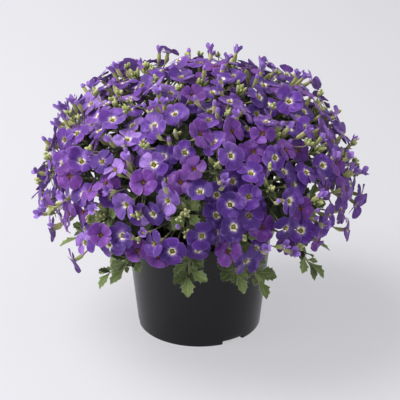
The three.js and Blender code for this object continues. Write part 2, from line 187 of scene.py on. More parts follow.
def bezier(corners, shares):
    """Points on a cubic curve at the given shares of its way."""
    first, second, third, last = (np.asarray(corner)[None, :] for corner in corners)
    t = np.asarray(shares)[:, None]
    back = 1 - t
    return back**3 * first + 3 * back**2 * t * second + 3 * back * t**2 * third + t**3 * last


def stem_line(direction, foot_radius, reach):
    """A spray's stem: out of the soil, over in its own upright plane, then straight."""
    outward = unit(np.array([direction[0], direction[1], 0.0]))
    surface = outward * foot_radius + UP * SOIL_TOP
    foot = surface - UP * PLANT_DEPTH
    bend = surface + outward * STEM_LEAN + UP * STEM_RISE
    inner = mound_place(direction, reach * BENT_SHARE)
    outer = mound_place(direction, reach * STRAIGHT_SHARE)
    arch = bezier([surface, bend, inner, outer], np.linspace(0, 1, 15))
    return np.vstack([foot, arch, mound_place(direction, reach * TIP_SHARE)])


def spray_plan():
    sprays = []
    for index in range(SPRAY_COUNT):
        share = (index + 0.5) / SPRAY_COUNT
        polar = math.acos(1 - share * (1 - math.cos(LOWEST_SPRAY)))
        direction = direction_of(index * GOLDEN_ANGLE, polar)
        reach = mound_radius(direction)
        sprays.append({
            "index": index,
            "direction": direction,
            "reach": reach,
            "rosette": reach * ROSETTE_SHARE,
            "tip": reach * TIP_SHARE,
            "line": stem_line(direction, SPRAY_FOOT_RADIUS * math.sqrt(share), reach),
        })
    return sprays


def flower_at(direction, level, draw, sprays, spray_directions):
    """Where a flower's middle is, where it faces and where its stalk leaves the spray."""
    radius = mound_radius(direction) + level
    centre = mound_place(direction, radius)
    nearness = spray_directions @ direction
    spray = sprays[int(np.argmax(nearness))]
    aside = radius * math.acos(min(1, float(nearness.max())))
    branching = radius - STALK_DROP - STALK_SLANT * aside
    stray = ROOT_SPREAD * draw()
    lowest = spray["rosette"] + ROOT_ABOVE_LEAVES + stray
    highest = spray["tip"] - ROOT_BELOW_TIP - stray
    root_radius = min(max(branching, lowest), highest)
    root = mound_place(spray["direction"], root_radius)
    facing = direction + unit(centre - root) * STALK_PULL
    facing[0] += (draw() - 0.5) * 2 * FLOWER_TILT
    facing[1] += (draw() - 0.5) * 2 * FLOWER_TILT
    facing[2] += (draw() - 0.5 + TILT_UP) * 2 * FLOWER_TILT
    facing = unit(facing)
    reach = PETAL_REACH + PETAL_REACH_SPREAD * draw()
    turn = draw() * math.pi
    stalk = centre + STALK_SHARES[:, None] * (root - centre)
    return {"centre": centre, "facing": facing, "reach": reach, "turn": turn,
            "root": root, "spray": spray["index"], "stalk": stalk}


def discs_cross(flower, centres, facings, reaches):
    """Whether the round space that the flower turns in crosses any of the others'."""
    between = centres - flower["centre"]
    reach_one = flower["reach"] + PETAL_EDGE_ROOM
    reach_others = reaches + PETAL_EDGE_ROOM
    near = np.linalg.norm(between, axis=1) <= reach_one + reach_others
    line = np.cross(flower["facing"], facings)
    slant = np.linalg.norm(line, axis=1)
    rise = np.abs(between @ flower["facing"])
    level = slant < NEARLY_LEVEL
    level_meets = rise < PETAL_ROOM + slant * reach_others
    line = line / np.maximum(slant, 1e-12)[:, None]
    towards_other = np.cross(line, flower["facing"])
    towards_one = np.cross(line, facings)
    step_one = np.sum(between * facings, 1) / np.sum(towards_other * facings, 1)
    step_other = -(between @ flower["facing"]) / (towards_one @ flower["facing"])
    chord_one = reach_one**2 - step_one**2
    chord_other = reach_others**2 - step_other**2
    both = (chord_one > 0) & (chord_other > 0)
    half_chords = np.sqrt(np.maximum(chord_one, 0)) + np.sqrt(np.maximum(chord_other, 0))
    slanted_meets = both & (np.abs(np.sum(between * line, 1)) < half_chords)
    return bool(np.any(near & np.where(level, level_meets, slanted_meets)))


def disc_meets(centres, facings, reaches, points, room):
    """Whether points, one row of them for each disc, come too near it."""
    offset = points - centres[:, None, :]
    rise = np.einsum("nkc,nc->nk", offset, facings)
    flat = np.sum(offset**2, axis=2) - rise**2
    near = np.abs(rise) <= room + PETAL_HALF_ROOM
    return bool(np.any(near & (flat < (reaches[:, None] + room) ** 2)))


def sown_flowers(sprays):
    """The outliers first, then seeded draws that keep clear of what is there."""
    draw = draw_from(SEED)
    spray_directions = np.array([spray["direction"] for spray in sprays])
    tips = np.array([MOUND_CENTRE + spray["direction"] * (spray["tip"] + TIP_STEPS)[:, None]
                     for spray in sprays])
    near_sprays = spray_directions @ spray_directions.T > NEAR_COSINE
    flowers = []
    for azimuth, polar, level in OUTLIERS:
        direction = direction_of(math.radians(azimuth), math.radians(polar))
        flowers.append(flower_at(direction, level, draw, sprays, spray_directions))
    centres = np.zeros((FLOWER_COUNT, 3))
    facings = np.zeros((FLOWER_COUNT, 3))
    reaches = np.zeros(FLOWER_COUNT)
    owners = np.zeros(FLOWER_COUNT, int)
    stalks = np.zeros((FLOWER_COUNT, len(STALK_SHARES), 3))

    def keep(flower, place):
        centres[place] = flower["centre"]
        facings[place] = flower["facing"]
        reaches[place] = flower["reach"]
        owners[place] = flower["spray"]
        stalks[place] = flower["stalk"]

    def is_clear(flower, count):
        apart = np.linalg.norm(centres[:count] - flower["centre"], axis=1)
        if apart.min() < FLOWER_SPACING:
            return False
        own = [flower[key][None] for key in ("centre", "facing")]
        reach = np.array([flower["reach"]])
        near_tips = tips[near_sprays[flower["spray"]]].reshape(1, -1, 3)
        if disc_meets(*own, reach, near_tips, TIP_ROOM):
            return False
        near = np.nonzero(apart <= FAR_APART)[0]
        if len(near) == 0:
            return True
        others = (centres[near], facings[near], reaches[near])
        if discs_cross(flower, *others):
            return False
        if disc_meets(*own, reach, stalks[near].reshape(1, -1, 3), STALK_ROOM):
            return False
        mine = np.repeat(flower["stalk"][None], len(near), axis=0)
        if disc_meets(*others, mine, STALK_ROOM):
            return False
        foreign = stalks[near[owners[near] != flower["spray"]]].reshape(-1, 1, 3)
        gaps = np.linalg.norm(foreign - flower["stalk"][None], axis=2)
        return gaps.size == 0 or gaps.min() > STALKS_APART

    for place, flower in enumerate(flowers):
        keep(flower, place)
    for _ in range(FLOWER_TURNS):
        if len(flowers) == FLOWER_COUNT:
            break
        polar = math.acos(1 - draw() * (1 - math.cos(LOWEST_FLOWER)))
        direction = direction_of(draw() * math.pi * 2, polar)
        level_share = draw()
        level = (1 - level_share) * DEEPEST_FLOWER + level_share * HIGHEST_FLOWER
        flower = flower_at(direction, level, draw, sprays, spray_directions)
        if is_clear(flower, len(flowers)):
            keep(flower, len(flowers))
            flowers.append(flower)
    return flowers


# Kinds of surface, each with its own material
POT, CRUMB, FACE, BACK, EYE, ANTHER, GREEN, STEM, BUD, HAIR = range(10)
PETAL_KINDS = (FACE, BACK)

# Seeds of the draws for fine detail
SPRAY_SEED = 1000
SHOOT_SEED = 2000
CRUMB_SEED = 7

# Fine shape of a petal; two values are the ends of what is drawn
PETAL_ROWS = (0, 0.05, 0.14, 0.28, 0.43, 0.58, 0.71, 0.82, 0.91, 0.97, 1)
PETAL_COLUMNS = 6
PETAL_INNER = 1.3
PETAL_THICK = 0.2
FURLED_THICK = 0.15
PETAL_WIDTH = 0.62
PETAL_WIDTHS = ((0, 0.05, 0.12, 0.22, 0.34, 0.46, 0.58), (0.21, 0.26, 0.42, 0.64, 0.83, 0.95, 1))
PETAL_BROADEST = (0.5, 0.66)
PETAL_SQUARENESS = (2.0, 2.9)
PETAL_LENGTH = (0.97, 1.08)
PETAL_BREADTH = (0.86, 1.08)
PETAL_SKEW = (-0.1, 0.1)
PETAL_NOTCH = (-0.02, 0.07)
PETAL_NOTCH_WIDTH = 0.35
EDGE_RIPPLE = 0.04
EDGE_WAVES = (7, 12)
PETAL_CURL = (-1.6, 0.8)
PETAL_RUFFLE = (0.2, 0.55)
RUFFLE_WAVES = (2.5, 5)
PETAL_CUP = (0, 0.8)
PITCH_SPREAD = 0.14
MOST_PITCH = 0.36
BENT_PETALS = 0.14
BENT_BY = (0.2, 0.5)
CLAW_DEPTH = 2.2
CLAW_LENGTH = 0.07

# What the petals of one flower have in common
FLOWER_BREADTH = (0.9, 1.08)
FLOWER_PITCH_SPREAD = 0.13
FLOWER_ROLL = (0.08, 0.22)
FLOWER_CURL_SPREAD = 0.4
SHADE_DRAWN = 0.74
# Share of shade added to flowers that face the lit side: painted light that makes them paler
SHADE_PAINTED_LIGHT = 0.34
LIT_SIDE = np.array([-0.75, -0.1, 0.65])

# Ages of flowers: share of all up to here, and the youngest and oldest of them
FLOWER_AGES = ((0.5, 0, 0.3), (0.74, 0.4, 0.56), (1, 0.7, 1))

# Throat, calyx, stalk and hairs
THROAT_RINGS = ((1.85, -1.3), (1.55, -1.9), (1.0, -2.5), (0.4, -2.8))
THROAT_SIDES = 8
ANTHERS = 6
ANTHER_GIRTHS = (0.16, 0.4, 0.2)
CALYX_TOP = 2.5
CALYX_LENGTH = 9
CALYX_GIRTH = 1.55
CALYX_HAIRS = 10
STALK_GIRTH = 0.42
STEM_GIRTH = 1.25
STEM_SIDES = 7
CALYX_SIDES = 8
TWIG_SIDES = 5
ANTHER_SIDES = 4
HAIR_GIRTH = 0.07

# Fine shape of a leaf: places along it and its half width there, as shares of its length
LEAF_ALONG = (0, 0.16, 0.32, 0.45, 0.6, 0.64, 0.72, 0.82, 0.85, 0.92, 0.97, 1)
LEAF_HALF = (0.03, 0.045, 0.11, 0.2, 0.31, 0.215, 0.215, 0.235, 0.14, 0.1, 0.045, 0.012)
LEAF_COLUMNS = 4
LEAF_THICK = 0.24
LEAF_BREADTH = (0.82, 1.12)
LEAF_DROOP = (-0.1, 0.3)
LEAF_FOLD = (0.1, 0.5)
# Leaf freshness sets how dark a leaf is painted: partly its age, mostly painted shade deep in the mound
LEAF_FRESH_AND_LIT_SPREAD = 0.18
ROSETTE_LIFT = 0.26
ROSETTE_FRESH_AND_LIT = 0.2
LOW_ROSETTE_FRESH_AND_LIT = 0.45
LOW_RINGS_FRESHER_AND_LIT = 0.2
INNER_LEAVES_BROADER = 1.15
SHOOT_MORE_LEAVES = 8
SHOOT_END_LEAVES = 5
SHOOT_END_TURN = 1.26

# Rings of leaves on a spray: place on its reach, leaves, length over the reach, lift, freshness; low
# freshness paints a leaf dark, partly as an older leaf and mostly as painted shade deep in the mound
LEAF_RINGS = (
    (0.38, 6, 0.17, 0.1, 0.02),
    (0.48, 6, 0.17, 0.1, 0.04),
    (0.57, 6, 0.165, 0.1, 0.08),
    (0.65, 6, 0.155, 0.2, 0.15),
    (0.8, 6, 0.115, 0.5, 0.08),
    (0.88, 4, 0.08, 0.75, 0.16),
)
SKIRT_RINGS = (
    (0.76, 6, 0.14, 0.25, 0.2),
    (0.84, 5, 0.11, 0.4, 0.4),
    (0.9, 4, 0.13, 0.5, 0.8),
)
SKIRT_POLAR = math.radians(70)

# Small buds and flowers about to open, in the gaps between the open flowers
GAP_TURNS = 9000
GAP_LOW_BIAS = 0.7
GAP_REACH_SHARE = 0.9
GAP_ROOT_DROP = (6, 16)
GAP_ROOM = 2.6
GAP_COUNT = 190
GAP_LOWEST = -5
GAP_HIGHEST = 4
GAP_TOP_GAIN = 6
GAP_TIP_ROOM = 7
CLUSTER, CLOSED, HALF_OPEN = range(3)
GAP_KINDS = (0.32, 0.6)
CLUSTER_BUDS = (3, 7)
CLUSTER_BUD_LENGTH = (4.4, 7.4)
CLUSTER_BUD_GIRTH = (0.18, 0.24)
OPENING_CALYX = (6.5, 9)
OPEN_REACH = (5.5, 8)
CLOSED_REACH = (3.2, 5.5)

# Shape of a bud: places along it, and its girth there as a share of the greatest
BUD_SHARES = np.array([0, 0.18, 0.26, 0.4, 0.58, 0.78, 0.92, 1])
BUD_GIRTHS = np.array([0.24, 0.24, 0.6, 0.92, 1, 0.84, 0.5, 0.12])
HEAD_BUD_LENGTH = 7.5
HEAD_BUD_GIRTH = 1.6
RING_BUD_GIRTH = 0.22
LONG_BUD_LENGTH = (11, 14)
LONG_BUD_GIRTH = 1.65

# Rings of buds at a spray's tip: buds, spread from its line, length, drop below the tip
BUD_RINGS = ((4, 0.4, 6.0, 0.5), (4, 0.75, 5.6, 2.2))
TOP_BUD_RINGS = ((3, 0.4, 6.0, 0.5), (3, 0.75, 5.6, 2.2))
TOP_RISE = 0.6

# Crumbs on the soil
CRUMB_COUNT = 420
CRUMB_REACH = 56
CRUMB_DOME = 3
CRUMB_SIZE = (0.5, 1.9)
PALE_CRUMBS = 0.12

# Fine turning of the pot: columns all round, and how far a notch's edges slant, as an angle
POT_COLUMNS = 144
NOTCH_EDGE = 0.004

# Edges of a piece that turn by more than this look sharp
SHARP_ANGLE = math.radians(80)
POT_SHARP_ANGLE = math.radians(40)


class Shape:
    """Points, faces, map places and marks of one piece, gathered part by part."""

    def __init__(self):
        self.points = []
        self.marks = []
        self.blocks = []
        self.count = 0
        self.cells = {True: 0, False: 0}

    def add(self, points, marks):
        """Takes points with their marks and gives the number of the first one."""
        points = np.asarray(points, float).reshape(-1, 3)
        first = self.count
        self.points.append(points)
        self.marks.append(np.broadcast_to(marks, (len(points), 4)))
        self.count += len(points)
        return first

    def cell(self, kind):
        """A new cell of the map: petals have one half of it, all else the other."""
        petal = kind in PETAL_KINDS
        self.cells[petal] += 1
        return petal, self.cells[petal] - 1

    def fill(self, faces, places, kind, cell=None):
        """Takes faces as point numbers, with each corner's place in the map's cell."""
        cell = self.cell(kind) if cell is None else cell
        self.blocks.append((np.asarray(faces), np.asarray(places, float), kind, cell))

    def piece(self, name, materials, sharp_angle=SHARP_ANGLE):
        """The finished mesh object."""
        mesh = bpy.data.meshes.new(name)
        points = np.vstack(self.points) * MM
        mesh.vertices.add(len(points))
        mesh.vertices.foreach_set("co", points.astype(np.float32).ravel())
        sizes = np.concatenate([np.full(len(faces), faces.shape[1]) for faces, *_ in self.blocks])
        mesh.loops.add(int(sizes.sum()))
        mesh.loops.foreach_set("vertex_index", np.concatenate([b[0].ravel() for b in self.blocks]))
        mesh.polygons.add(len(sizes))
        mesh.polygons.foreach_set("loop_start", np.concatenate([[0], np.cumsum(sizes)[:-1]]))
        used = sorted({kind for *_, kind, _ in self.blocks})
        kinds = [np.full(len(faces), used.index(kind)) for faces, _, kind, _ in self.blocks]
        mesh.polygons.foreach_set("material_index", np.concatenate(kinds))
        mesh.polygons.foreach_set("use_smooth", np.ones(len(sizes), bool))
        mesh.update(calc_edges=True)
        marks = mesh.attributes.new("mark", "FLOAT_COLOR", "POINT")
        marks.data.foreach_set("color", np.vstack(self.marks).astype(np.float32).ravel())
        places = mesh.uv_layers.new(name="OFBake")
        places.data.foreach_set("uv", self.map_places().astype(np.float32).ravel())
        mesh.set_sharp_from_angle(angle=sharp_angle)
        for kind in used:
            mesh.materials.append(materials[kind])
        piece = bpy.data.objects.new(name, mesh)
        bpy.context.collection.objects.link(piece)
        return piece

    def map_places(self):
        """Each corner's place in the whole map, with its cell in a square grid of cells."""
        halves = 2 if all(self.cells.values()) else 1
        placed = []
        for _, places, _, (petal, number) in self.blocks:
            across = math.ceil(math.sqrt(self.cells[petal] * halves))
            column, row = number % across, number // across
            place = (places.reshape(-1, 2) * 0.9 + 0.05 + (column, row)) / across
            if halves == 2 and not petal:
                place[:, 1] = 1 - place[:, 1]
            placed.append(place)
        return np.vstack(placed)


def grid_faces(rows, columns):
    """Four-cornered faces over a grid of points."""
    row, column = np.meshgrid(np.arange(rows - 1), np.arange(columns - 1), indexing="ij")
    corner = (row * columns + column).ravel()
    return np.stack([corner, corner + columns, corner + columns + 1, corner + 1], 1)


def ring_faces(rows, sides):
    """Four-cornered faces over closed rings of points, one ring after the other."""
    row, side = np.meshgrid(np.arange(rows - 1), np.arange(sides), indexing="ij")
    here = (row * sides + side).ravel()
    beside = (row * sides + (side + 1) % sides).ravel()
    return np.stack([here, beside, beside + sides, here + sides], 1)


def cap_faces(middle, first, sides):
    """Three-cornered faces from a middle point to the ring of points that starts at first."""
    side = np.arange(sides)
    return np.stack([np.full(sides, middle), first + side, first + (side + 1) % sides], 1)


def ring_places(rows, sides):
    """Places in the map for rings of points: along, and to one side and back."""
    there_and_back = np.abs(1 - 2 * np.arange(sides) / sides)
    return np.stack([np.repeat(np.linspace(0, 1, rows), sides), np.tile(there_and_back, rows)], 1)


def line_marks(along, shade, age=0.0):
    """Marks for points along a line, with the same shade and age for all."""
    along = np.asarray(along, float)
    return np.stack(np.broadcast_arrays(along, 0.5, shade, age), 1)


def grid_marks(along, aside, shade, age):
    return np.stack(np.broadcast_arrays(along, aside * 0.5 + 0.5, shade, age), 2)


def lengths_along(line):
    return np.concatenate([[0], np.cumsum(np.linalg.norm(np.diff(line, axis=0), axis=1))])


def spot_on(centre, facing):
    """Gives places by radius and angle round a middle, and by rise along its facing."""
    across, over = cross_directions(facing)

    def spot(radius, angle, rise):
        radius, angle, rise = np.broadcast_arrays(radius, angle, rise)
        return (centre + across * (radius * np.cos(angle))[..., None]
                + over * (radius * np.sin(angle))[..., None] + facing * rise[..., None])

    return spot


def grid_places(rows, columns):
    along, aside = np.meshgrid(np.linspace(0, 1, rows), np.linspace(0, 1, columns), indexing="ij")
    return np.stack([along.ravel(), aside.ravel()], 1)


def add_blade(shape, grid, thickness, kinds, marks):
    """A thin closed blade over a grid of points: its face, and its back that shares the rim."""
    rows, columns = grid.shape[:2]
    normals = np.cross(np.gradient(grid, axis=0), np.gradient(grid, axis=1))
    normals /= np.maximum(np.linalg.norm(normals, axis=2, keepdims=True), 1e-9)
    inside = np.zeros((rows, columns), bool)
    inside[1:-1, 1:-1] = True
    marks = np.broadcast_to(marks, (rows, columns, 4))
    first = shape.add(grid, marks.reshape(-1, 4))
    back = (grid - normals * thickness)[inside]
    back_first = shape.add(back, marks[inside])
    numbers = first + np.arange(rows * columns)
    back_numbers = numbers.copy()
    back_numbers[inside.ravel()] = back_first + np.arange(len(back))
    faces = grid_faces(rows, columns)
    places = grid_places(rows, columns)
    shape.fill(numbers[faces], places[faces], kinds[0])
    shape.fill(back_numbers[faces[:, ::-1]], places[faces[:, ::-1]], kinds[1])


def cross_directions(ahead):
    upright = np.array([1.0, 0, 0]) if abs(ahead[2]) > 0.9 else UP
    across = unit(np.cross(upright, ahead))
    return across, np.cross(ahead, across)


def turned(across, over, angle):
    return across * math.cos(angle) + over * math.sin(angle)


def stem_directions(place, ahead):
    side = unit(np.array([-place[1], place[0], 0.0]))
    return side, unit(np.cross(ahead, side))


def add_tube(shape, line, girths, sides, kind, marks, lobes=0.0, cell=None):
    """A tube along a line of points, closed at both ends, with the given girth at each."""
    line = np.asarray(line, float)
    ahead = np.gradient(line, axis=0)
    ahead /= np.linalg.norm(ahead, axis=1, keepdims=True)
    across = np.zeros_like(line)
    across[0] = cross_directions(ahead[0])[0]
    for step in range(1, len(line)):
        across[step] = unit(across[step - 1] - ahead[step] * (across[step - 1] @ ahead[step]))
    over = np.cross(ahead, across)
    angles = np.arange(sides) / sides * 2 * math.pi
    girth = np.asarray(girths, float)[:, None] * (1 + lobes * np.cos(4 * angles))[None, :]
    ring = (line[:, None, :] + across[:, None, :] * (girth * np.cos(angles))[..., None]
            + over[:, None, :] * (girth * np.sin(angles))[..., None])
    steps = len(line)
    mark = np.repeat(marks, sides, axis=0)
    first = shape.add(ring, mark)
    ends = shape.add(line[[0, -1]], mark[[0, -1]])
    faces = ring_faces(steps, sides)
    cell = shape.cell(kind) if cell is None else cell
    shape.fill(first + faces, ring_places(steps, sides)[faces], kind, cell)
    low = cap_faces(ends, first, sides)[:, [0, 2, 1]]
    high = cap_faces(ends + 1, first + (steps - 1) * sides, sides)
    for cap, along in ((low, 0.0), (high, 1.0)):
        shape.fill(cap, np.tile([along, 0.5], (sides, 3, 1)), kind, cell)


def add_hairs(shape, roots, tips, cell):
    """Fine three-sided needles from roots to tips."""
    if len(roots) == 0:
        return
    roots = np.asarray(roots, float)
    tips = np.asarray(tips, float)
    ahead = tips - roots
    ahead /= np.maximum(np.linalg.norm(ahead, axis=1, keepdims=True), 1e-9)
    helper = np.where(np.abs(ahead[:, 2:]) > 0.9, [[1.0, 0, 0]], [[0, 0, 1.0]])
    across = np.cross(helper, ahead)
    across /= np.linalg.norm(across, axis=1, keepdims=True)
    over = np.cross(ahead, across)
    corners = [roots + HAIR_GIRTH * turned(across, over, angle)
               for angle in (0, 2 * math.pi / 3, 4 * math.pi / 3)]
    points = np.stack([*corners, tips], 1)
    first = shape.add(points, (0.5, 0.5, 0.5, 0))
    base = first + 4 * np.arange(len(roots))[:, None]
    pattern = np.array([[0, 1, 3], [1, 2, 3], [2, 0, 3], [0, 2, 1]])
    faces = (base[:, None] + pattern[None]).reshape(-1, 3)
    shape.fill(faces, np.tile([0.5, 0.5], (len(faces), 3, 1)), HAIR, cell)


def add_petal(shape, spot, flower, middle, manner, rng):
    """One petal: a narrow claw at the eye that opens into a broad, rounded limb."""
    along = np.array(PETAL_ROWS)[:, None]
    aside = np.linspace(-1, 1, PETAL_COLUMNS + 1)[None, :]
    length = flower["reach"] * rng.uniform(*PETAL_LENGTH)
    half = flower["reach"] * PETAL_WIDTH * manner["width"] * rng.uniform(*PETAL_BREADTH)
    broadest = rng.uniform(*PETAL_BROADEST)
    squareness = rng.uniform(*PETAL_SQUARENESS)
    past = np.clip((along - broadest) / (1 - broadest), 0, 0.995)
    profile = np.interp(along, *PETAL_WIDTHS) * (1 - past**squareness) ** (1 / squareness)
    ripple = np.sin(along * rng.uniform(*EDGE_WAVES) + rng.uniform(0, 6))
    profile = profile * (1 + EDGE_RIPPLE * along * ripple)
    skew = rng.uniform(*PETAL_SKEW) * half
    width = half * profile * aside + skew * np.sin(along * math.pi)
    notch = rng.uniform(*PETAL_NOTCH) * along**5
    notch = notch * np.exp(-((aside - rng.uniform(-0.2, 0.2)) / PETAL_NOTCH_WIDTH) ** 2)
    reached = along * (1 - 0.05 * along**2 * aside**2 - notch)
    outwards = PETAL_INNER + (length - PETAL_INNER) * reached
    pitch = np.clip(manner["pitch"] + rng.normal(0, PITCH_SPREAD), -MOST_PITCH, MOST_PITCH)
    if rng.random() < BENT_PETALS:
        pitch += rng.choice([-1, 1]) * rng.uniform(*BENT_BY)
    roll = manner["roll"] + rng.uniform(-0.08, 0.08)
    curl = rng.uniform(*PETAL_CURL) + manner["curl"]
    ruffle = rng.uniform(*PETAL_RUFFLE) * along**1.5
    ruffle = ruffle * np.sin(aside * rng.uniform(*RUFFLE_WAVES) + rng.uniform(0, 6))
    claw = -CLAW_DEPTH * np.exp(-along / CLAW_LENGTH)
    rise = (claw + pitch * (outwards - PETAL_INNER) + roll * width
            + curl * along**2.5 - rng.uniform(*PETAL_CUP) * aside**2 * along + ruffle)
    radius = np.hypot(outwards, width)
    angle = middle + np.arctan2(width, outwards)
    share = np.clip((radius - PETAL_INNER) / (length - PETAL_INNER), 0, 1)
    shade = np.clip(manner["shade"] + rng.normal(0, 0.09), 0, 1)
    marks = grid_marks(share, aside, shade, manner["age"])
    add_blade(shape, spot(radius, angle, rise), PETAL_THICK, (FACE, BACK), marks)


def flower_age(rng):
    """Young flowers have a bright ring round the eye, which dulls and goes in older ones."""
    draw = rng.random()
    _, youngest, oldest = next(ages for ages in FLOWER_AGES if draw < ages[0])
    return rng.uniform(youngest, oldest)


def add_flower(shape, flower, rng):
    """One flower: four petals, the throat and anthers, and the calyx on its curved stalk."""
    spot = spot_on(flower["centre"], flower["facing"])
    # Flowers that face the side the lamps light from are painted paler: painted light
    lit_side_share = max(0, float(unit(flower["centre"] - MOUND_CENTRE) @ LIT_SIDE))
    manner = {
        "width": rng.uniform(*FLOWER_BREADTH),
        "pitch": rng.normal(0.0, FLOWER_PITCH_SPREAD),
        "roll": rng.choice([-1, 1]) * rng.uniform(*FLOWER_ROLL),
        "curl": rng.normal(0, FLOWER_CURL_SPREAD),
        "shade": SHADE_DRAWN * rng.random() + SHADE_PAINTED_LIGHT * lit_side_share**2,
        "age": flower_age(rng),
    }
    for petal in range(4):
        middle = flower["turn"] + petal * math.pi / 2 + rng.uniform(-0.13, 0.13)
        add_petal(shape, spot, flower, middle, manner, rng)
    add_throat(shape, spot, flower["turn"], manner, rng)
    add_calyx(shape, flower, manner, rng)


def add_throat(shape, spot, turn, manner, rng):
    """The hollow throat inside the claws, with anthers standing in it."""
    radii, rises = (np.array(part)[:, None] for part in zip(*THROAT_RINGS))
    rings = len(THROAT_RINGS)
    angles = turn + np.arange(THROAT_SIDES)[None, :] / THROAT_SIDES * 2 * math.pi
    place = ring_places(rings, THROAT_SIDES)
    marks = line_marks(place[:, 0], manner["shade"], manner["age"])
    first = shape.add(spot(radii, angles, rises), marks)
    faces = ring_faces(rings, THROAT_SIDES)[:, [0, 3, 2, 1]]
    shape.fill(first + faces, place[faces], EYE)
    cell = shape.cell(ANTHER)
    marks = line_marks(np.zeros(3), manner["shade"], manner["age"])
    for anther in range(ANTHERS):
        angle = turn + 0.4 + anther / ANTHERS * 2 * math.pi + rng.uniform(-0.2, 0.2)
        radius = rng.uniform(0.6, 0.85)
        top = rng.uniform(-0.45, 0.1)
        line = spot(radius * np.array([0.7, 1, 1.05]), angle, np.array([-2.2, top - 0.5, top]))
        add_tube(shape, line, ANTHER_GIRTHS, ANTHER_SIDES, ANTHER, marks, cell=cell)


def add_calyx(shape, flower, manner, rng):
    """The calyx of four upright sepals, and the stalk back to the spray."""
    centre = flower["centre"]
    facing = flower["facing"]
    root = flower["root"]
    span = np.linalg.norm(centre - root)
    length = min(CALYX_LENGTH, 0.72 * span)
    top = centre - facing * CALYX_TOP
    neck = centre - facing * length
    towards = unit(neck - root) if np.linalg.norm(neck - root) > 1e-6 else facing
    line = bezier([top, neck, neck - towards * 1.5, root], np.linspace(0, 1, 12))
    along = lengths_along(line)
    body = length - CALYX_TOP
    girths = np.interp(along, [0, 0.5, 0.35 * body, 0.8 * body, body, body + 1, span + 9],
                       [1.2, 1.45, CALYX_GIRTH, CALYX_GIRTH * 1.06, 1.25, 0.6, STALK_GIRTH])
    # Marks that make the stalk darker down from the calyx: painted shade inside the mound
    tube = np.interp(along, [0, body, body + 1.5, body + 12], [0, 0.4, 0.5, 1])
    marks = line_marks(tube, manner["shade"], manner["age"])
    add_tube(shape, line, girths, CALYX_SIDES, STEM, marks, lobes=0.07)
    share = rng.uniform(0.5, max(body, 1.5), CALYX_HAIRS)
    angle = rng.uniform(0, 2 * math.pi, CALYX_HAIRS)
    across, over = cross_directions(facing)
    side = across * np.cos(angle)[:, None] + over * np.sin(angle)[:, None]
    base = np.stack([np.interp(share, along, line[:, axis]) for axis in range(3)], 1)
    roots = base + side * CALYX_GIRTH * 0.8
    add_hairs(shape, roots, roots + side * rng.uniform(0.7, 1.3, (CALYX_HAIRS, 1)), shape.hair_cell)


def add_leaf(shape, base, ahead, face, length, manner, rng):
    """One leaf: narrow at its foot, broad and toothed past the middle, folded and curved."""
    side = unit(np.cross(face, ahead))
    over = np.cross(ahead, side)
    inner = manner.get("inner", False)
    rows = slice(None, None, 2 if inner else 1)
    along = np.array(LEAF_ALONG)[rows, None]
    aside = np.linspace(-1, 1, (2 if inner else LEAF_COLUMNS) + 1)[None, :]
    half = np.array(LEAF_HALF)[rows, None] * manner["width"]
    lean = rng.uniform(-0.025, 0.025)
    width = (half * aside + lean * np.sin(along * math.pi)) * length
    bend = manner["droop"] * (along - 0.12) ** 2 * length
    rise = manner["fold"] * np.abs(aside) * half * length - bend
    rise = rise + 0.25 * np.sin(along * rng.uniform(6, 9) + rng.uniform(0, 6)) * aside
    far = along * length - 0.35 * np.abs(bend) + 0 * aside
    grid = base + ahead * far[..., None] + side * width[..., None] + over * rise[..., None]
    marks = grid_marks(along, aside, manner["shade"], manner["age"])
    add_blade(shape, grid, LEAF_THICK, (GREEN, GREEN), marks)
    if inner:
        return
    edges = np.concatenate([grid[2:-1, 0], grid[2:-1, -1]])
    ways = np.repeat([-side, side], len(grid) - 3, axis=0) + ahead * 0.5
    ways = ways + rng.normal(0, 0.35, edges.shape)
    add_hairs(shape, edges, edges + ways * rng.uniform(0.6, 1.1, (len(edges), 1)), shape.hair_cell)


# A leaf's freshness sets how dark it is painted: partly its age, mostly painted shade deep in the mound
def leaf_manner(rng, fresh):
    return {
        "width": rng.uniform(*LEAF_BREADTH),
        "droop": rng.uniform(*LEAF_DROOP),
        "fold": rng.uniform(*LEAF_FOLD),
        "shade": rng.random(),
        "age": np.clip(fresh + rng.normal(0, LEAF_FRESH_AND_LIT_SPREAD), 0, 1),
    }


def add_bud(shape, base, ahead, length, girth, tip, rng):
    """A slim bud on a short stalk: green sepals with the petals' tip showing."""
    bow = rng.normal(0, 0.05, 3) * length
    line = base + ahead * (BUD_SHARES * length)[:, None] + bow * (BUD_SHARES**2)[:, None]
    marks = line_marks(BUD_SHARES, rng.random(), tip)
    add_tube(shape, line, girth * BUD_GIRTHS, STEM_SIDES, BUD, marks, lobes=0.05)


def leaf_direction(ahead, around, angle, lift):
    across, over = around
    return unit(turned(across, over, angle) * math.cos(lift) + ahead * math.sin(lift))


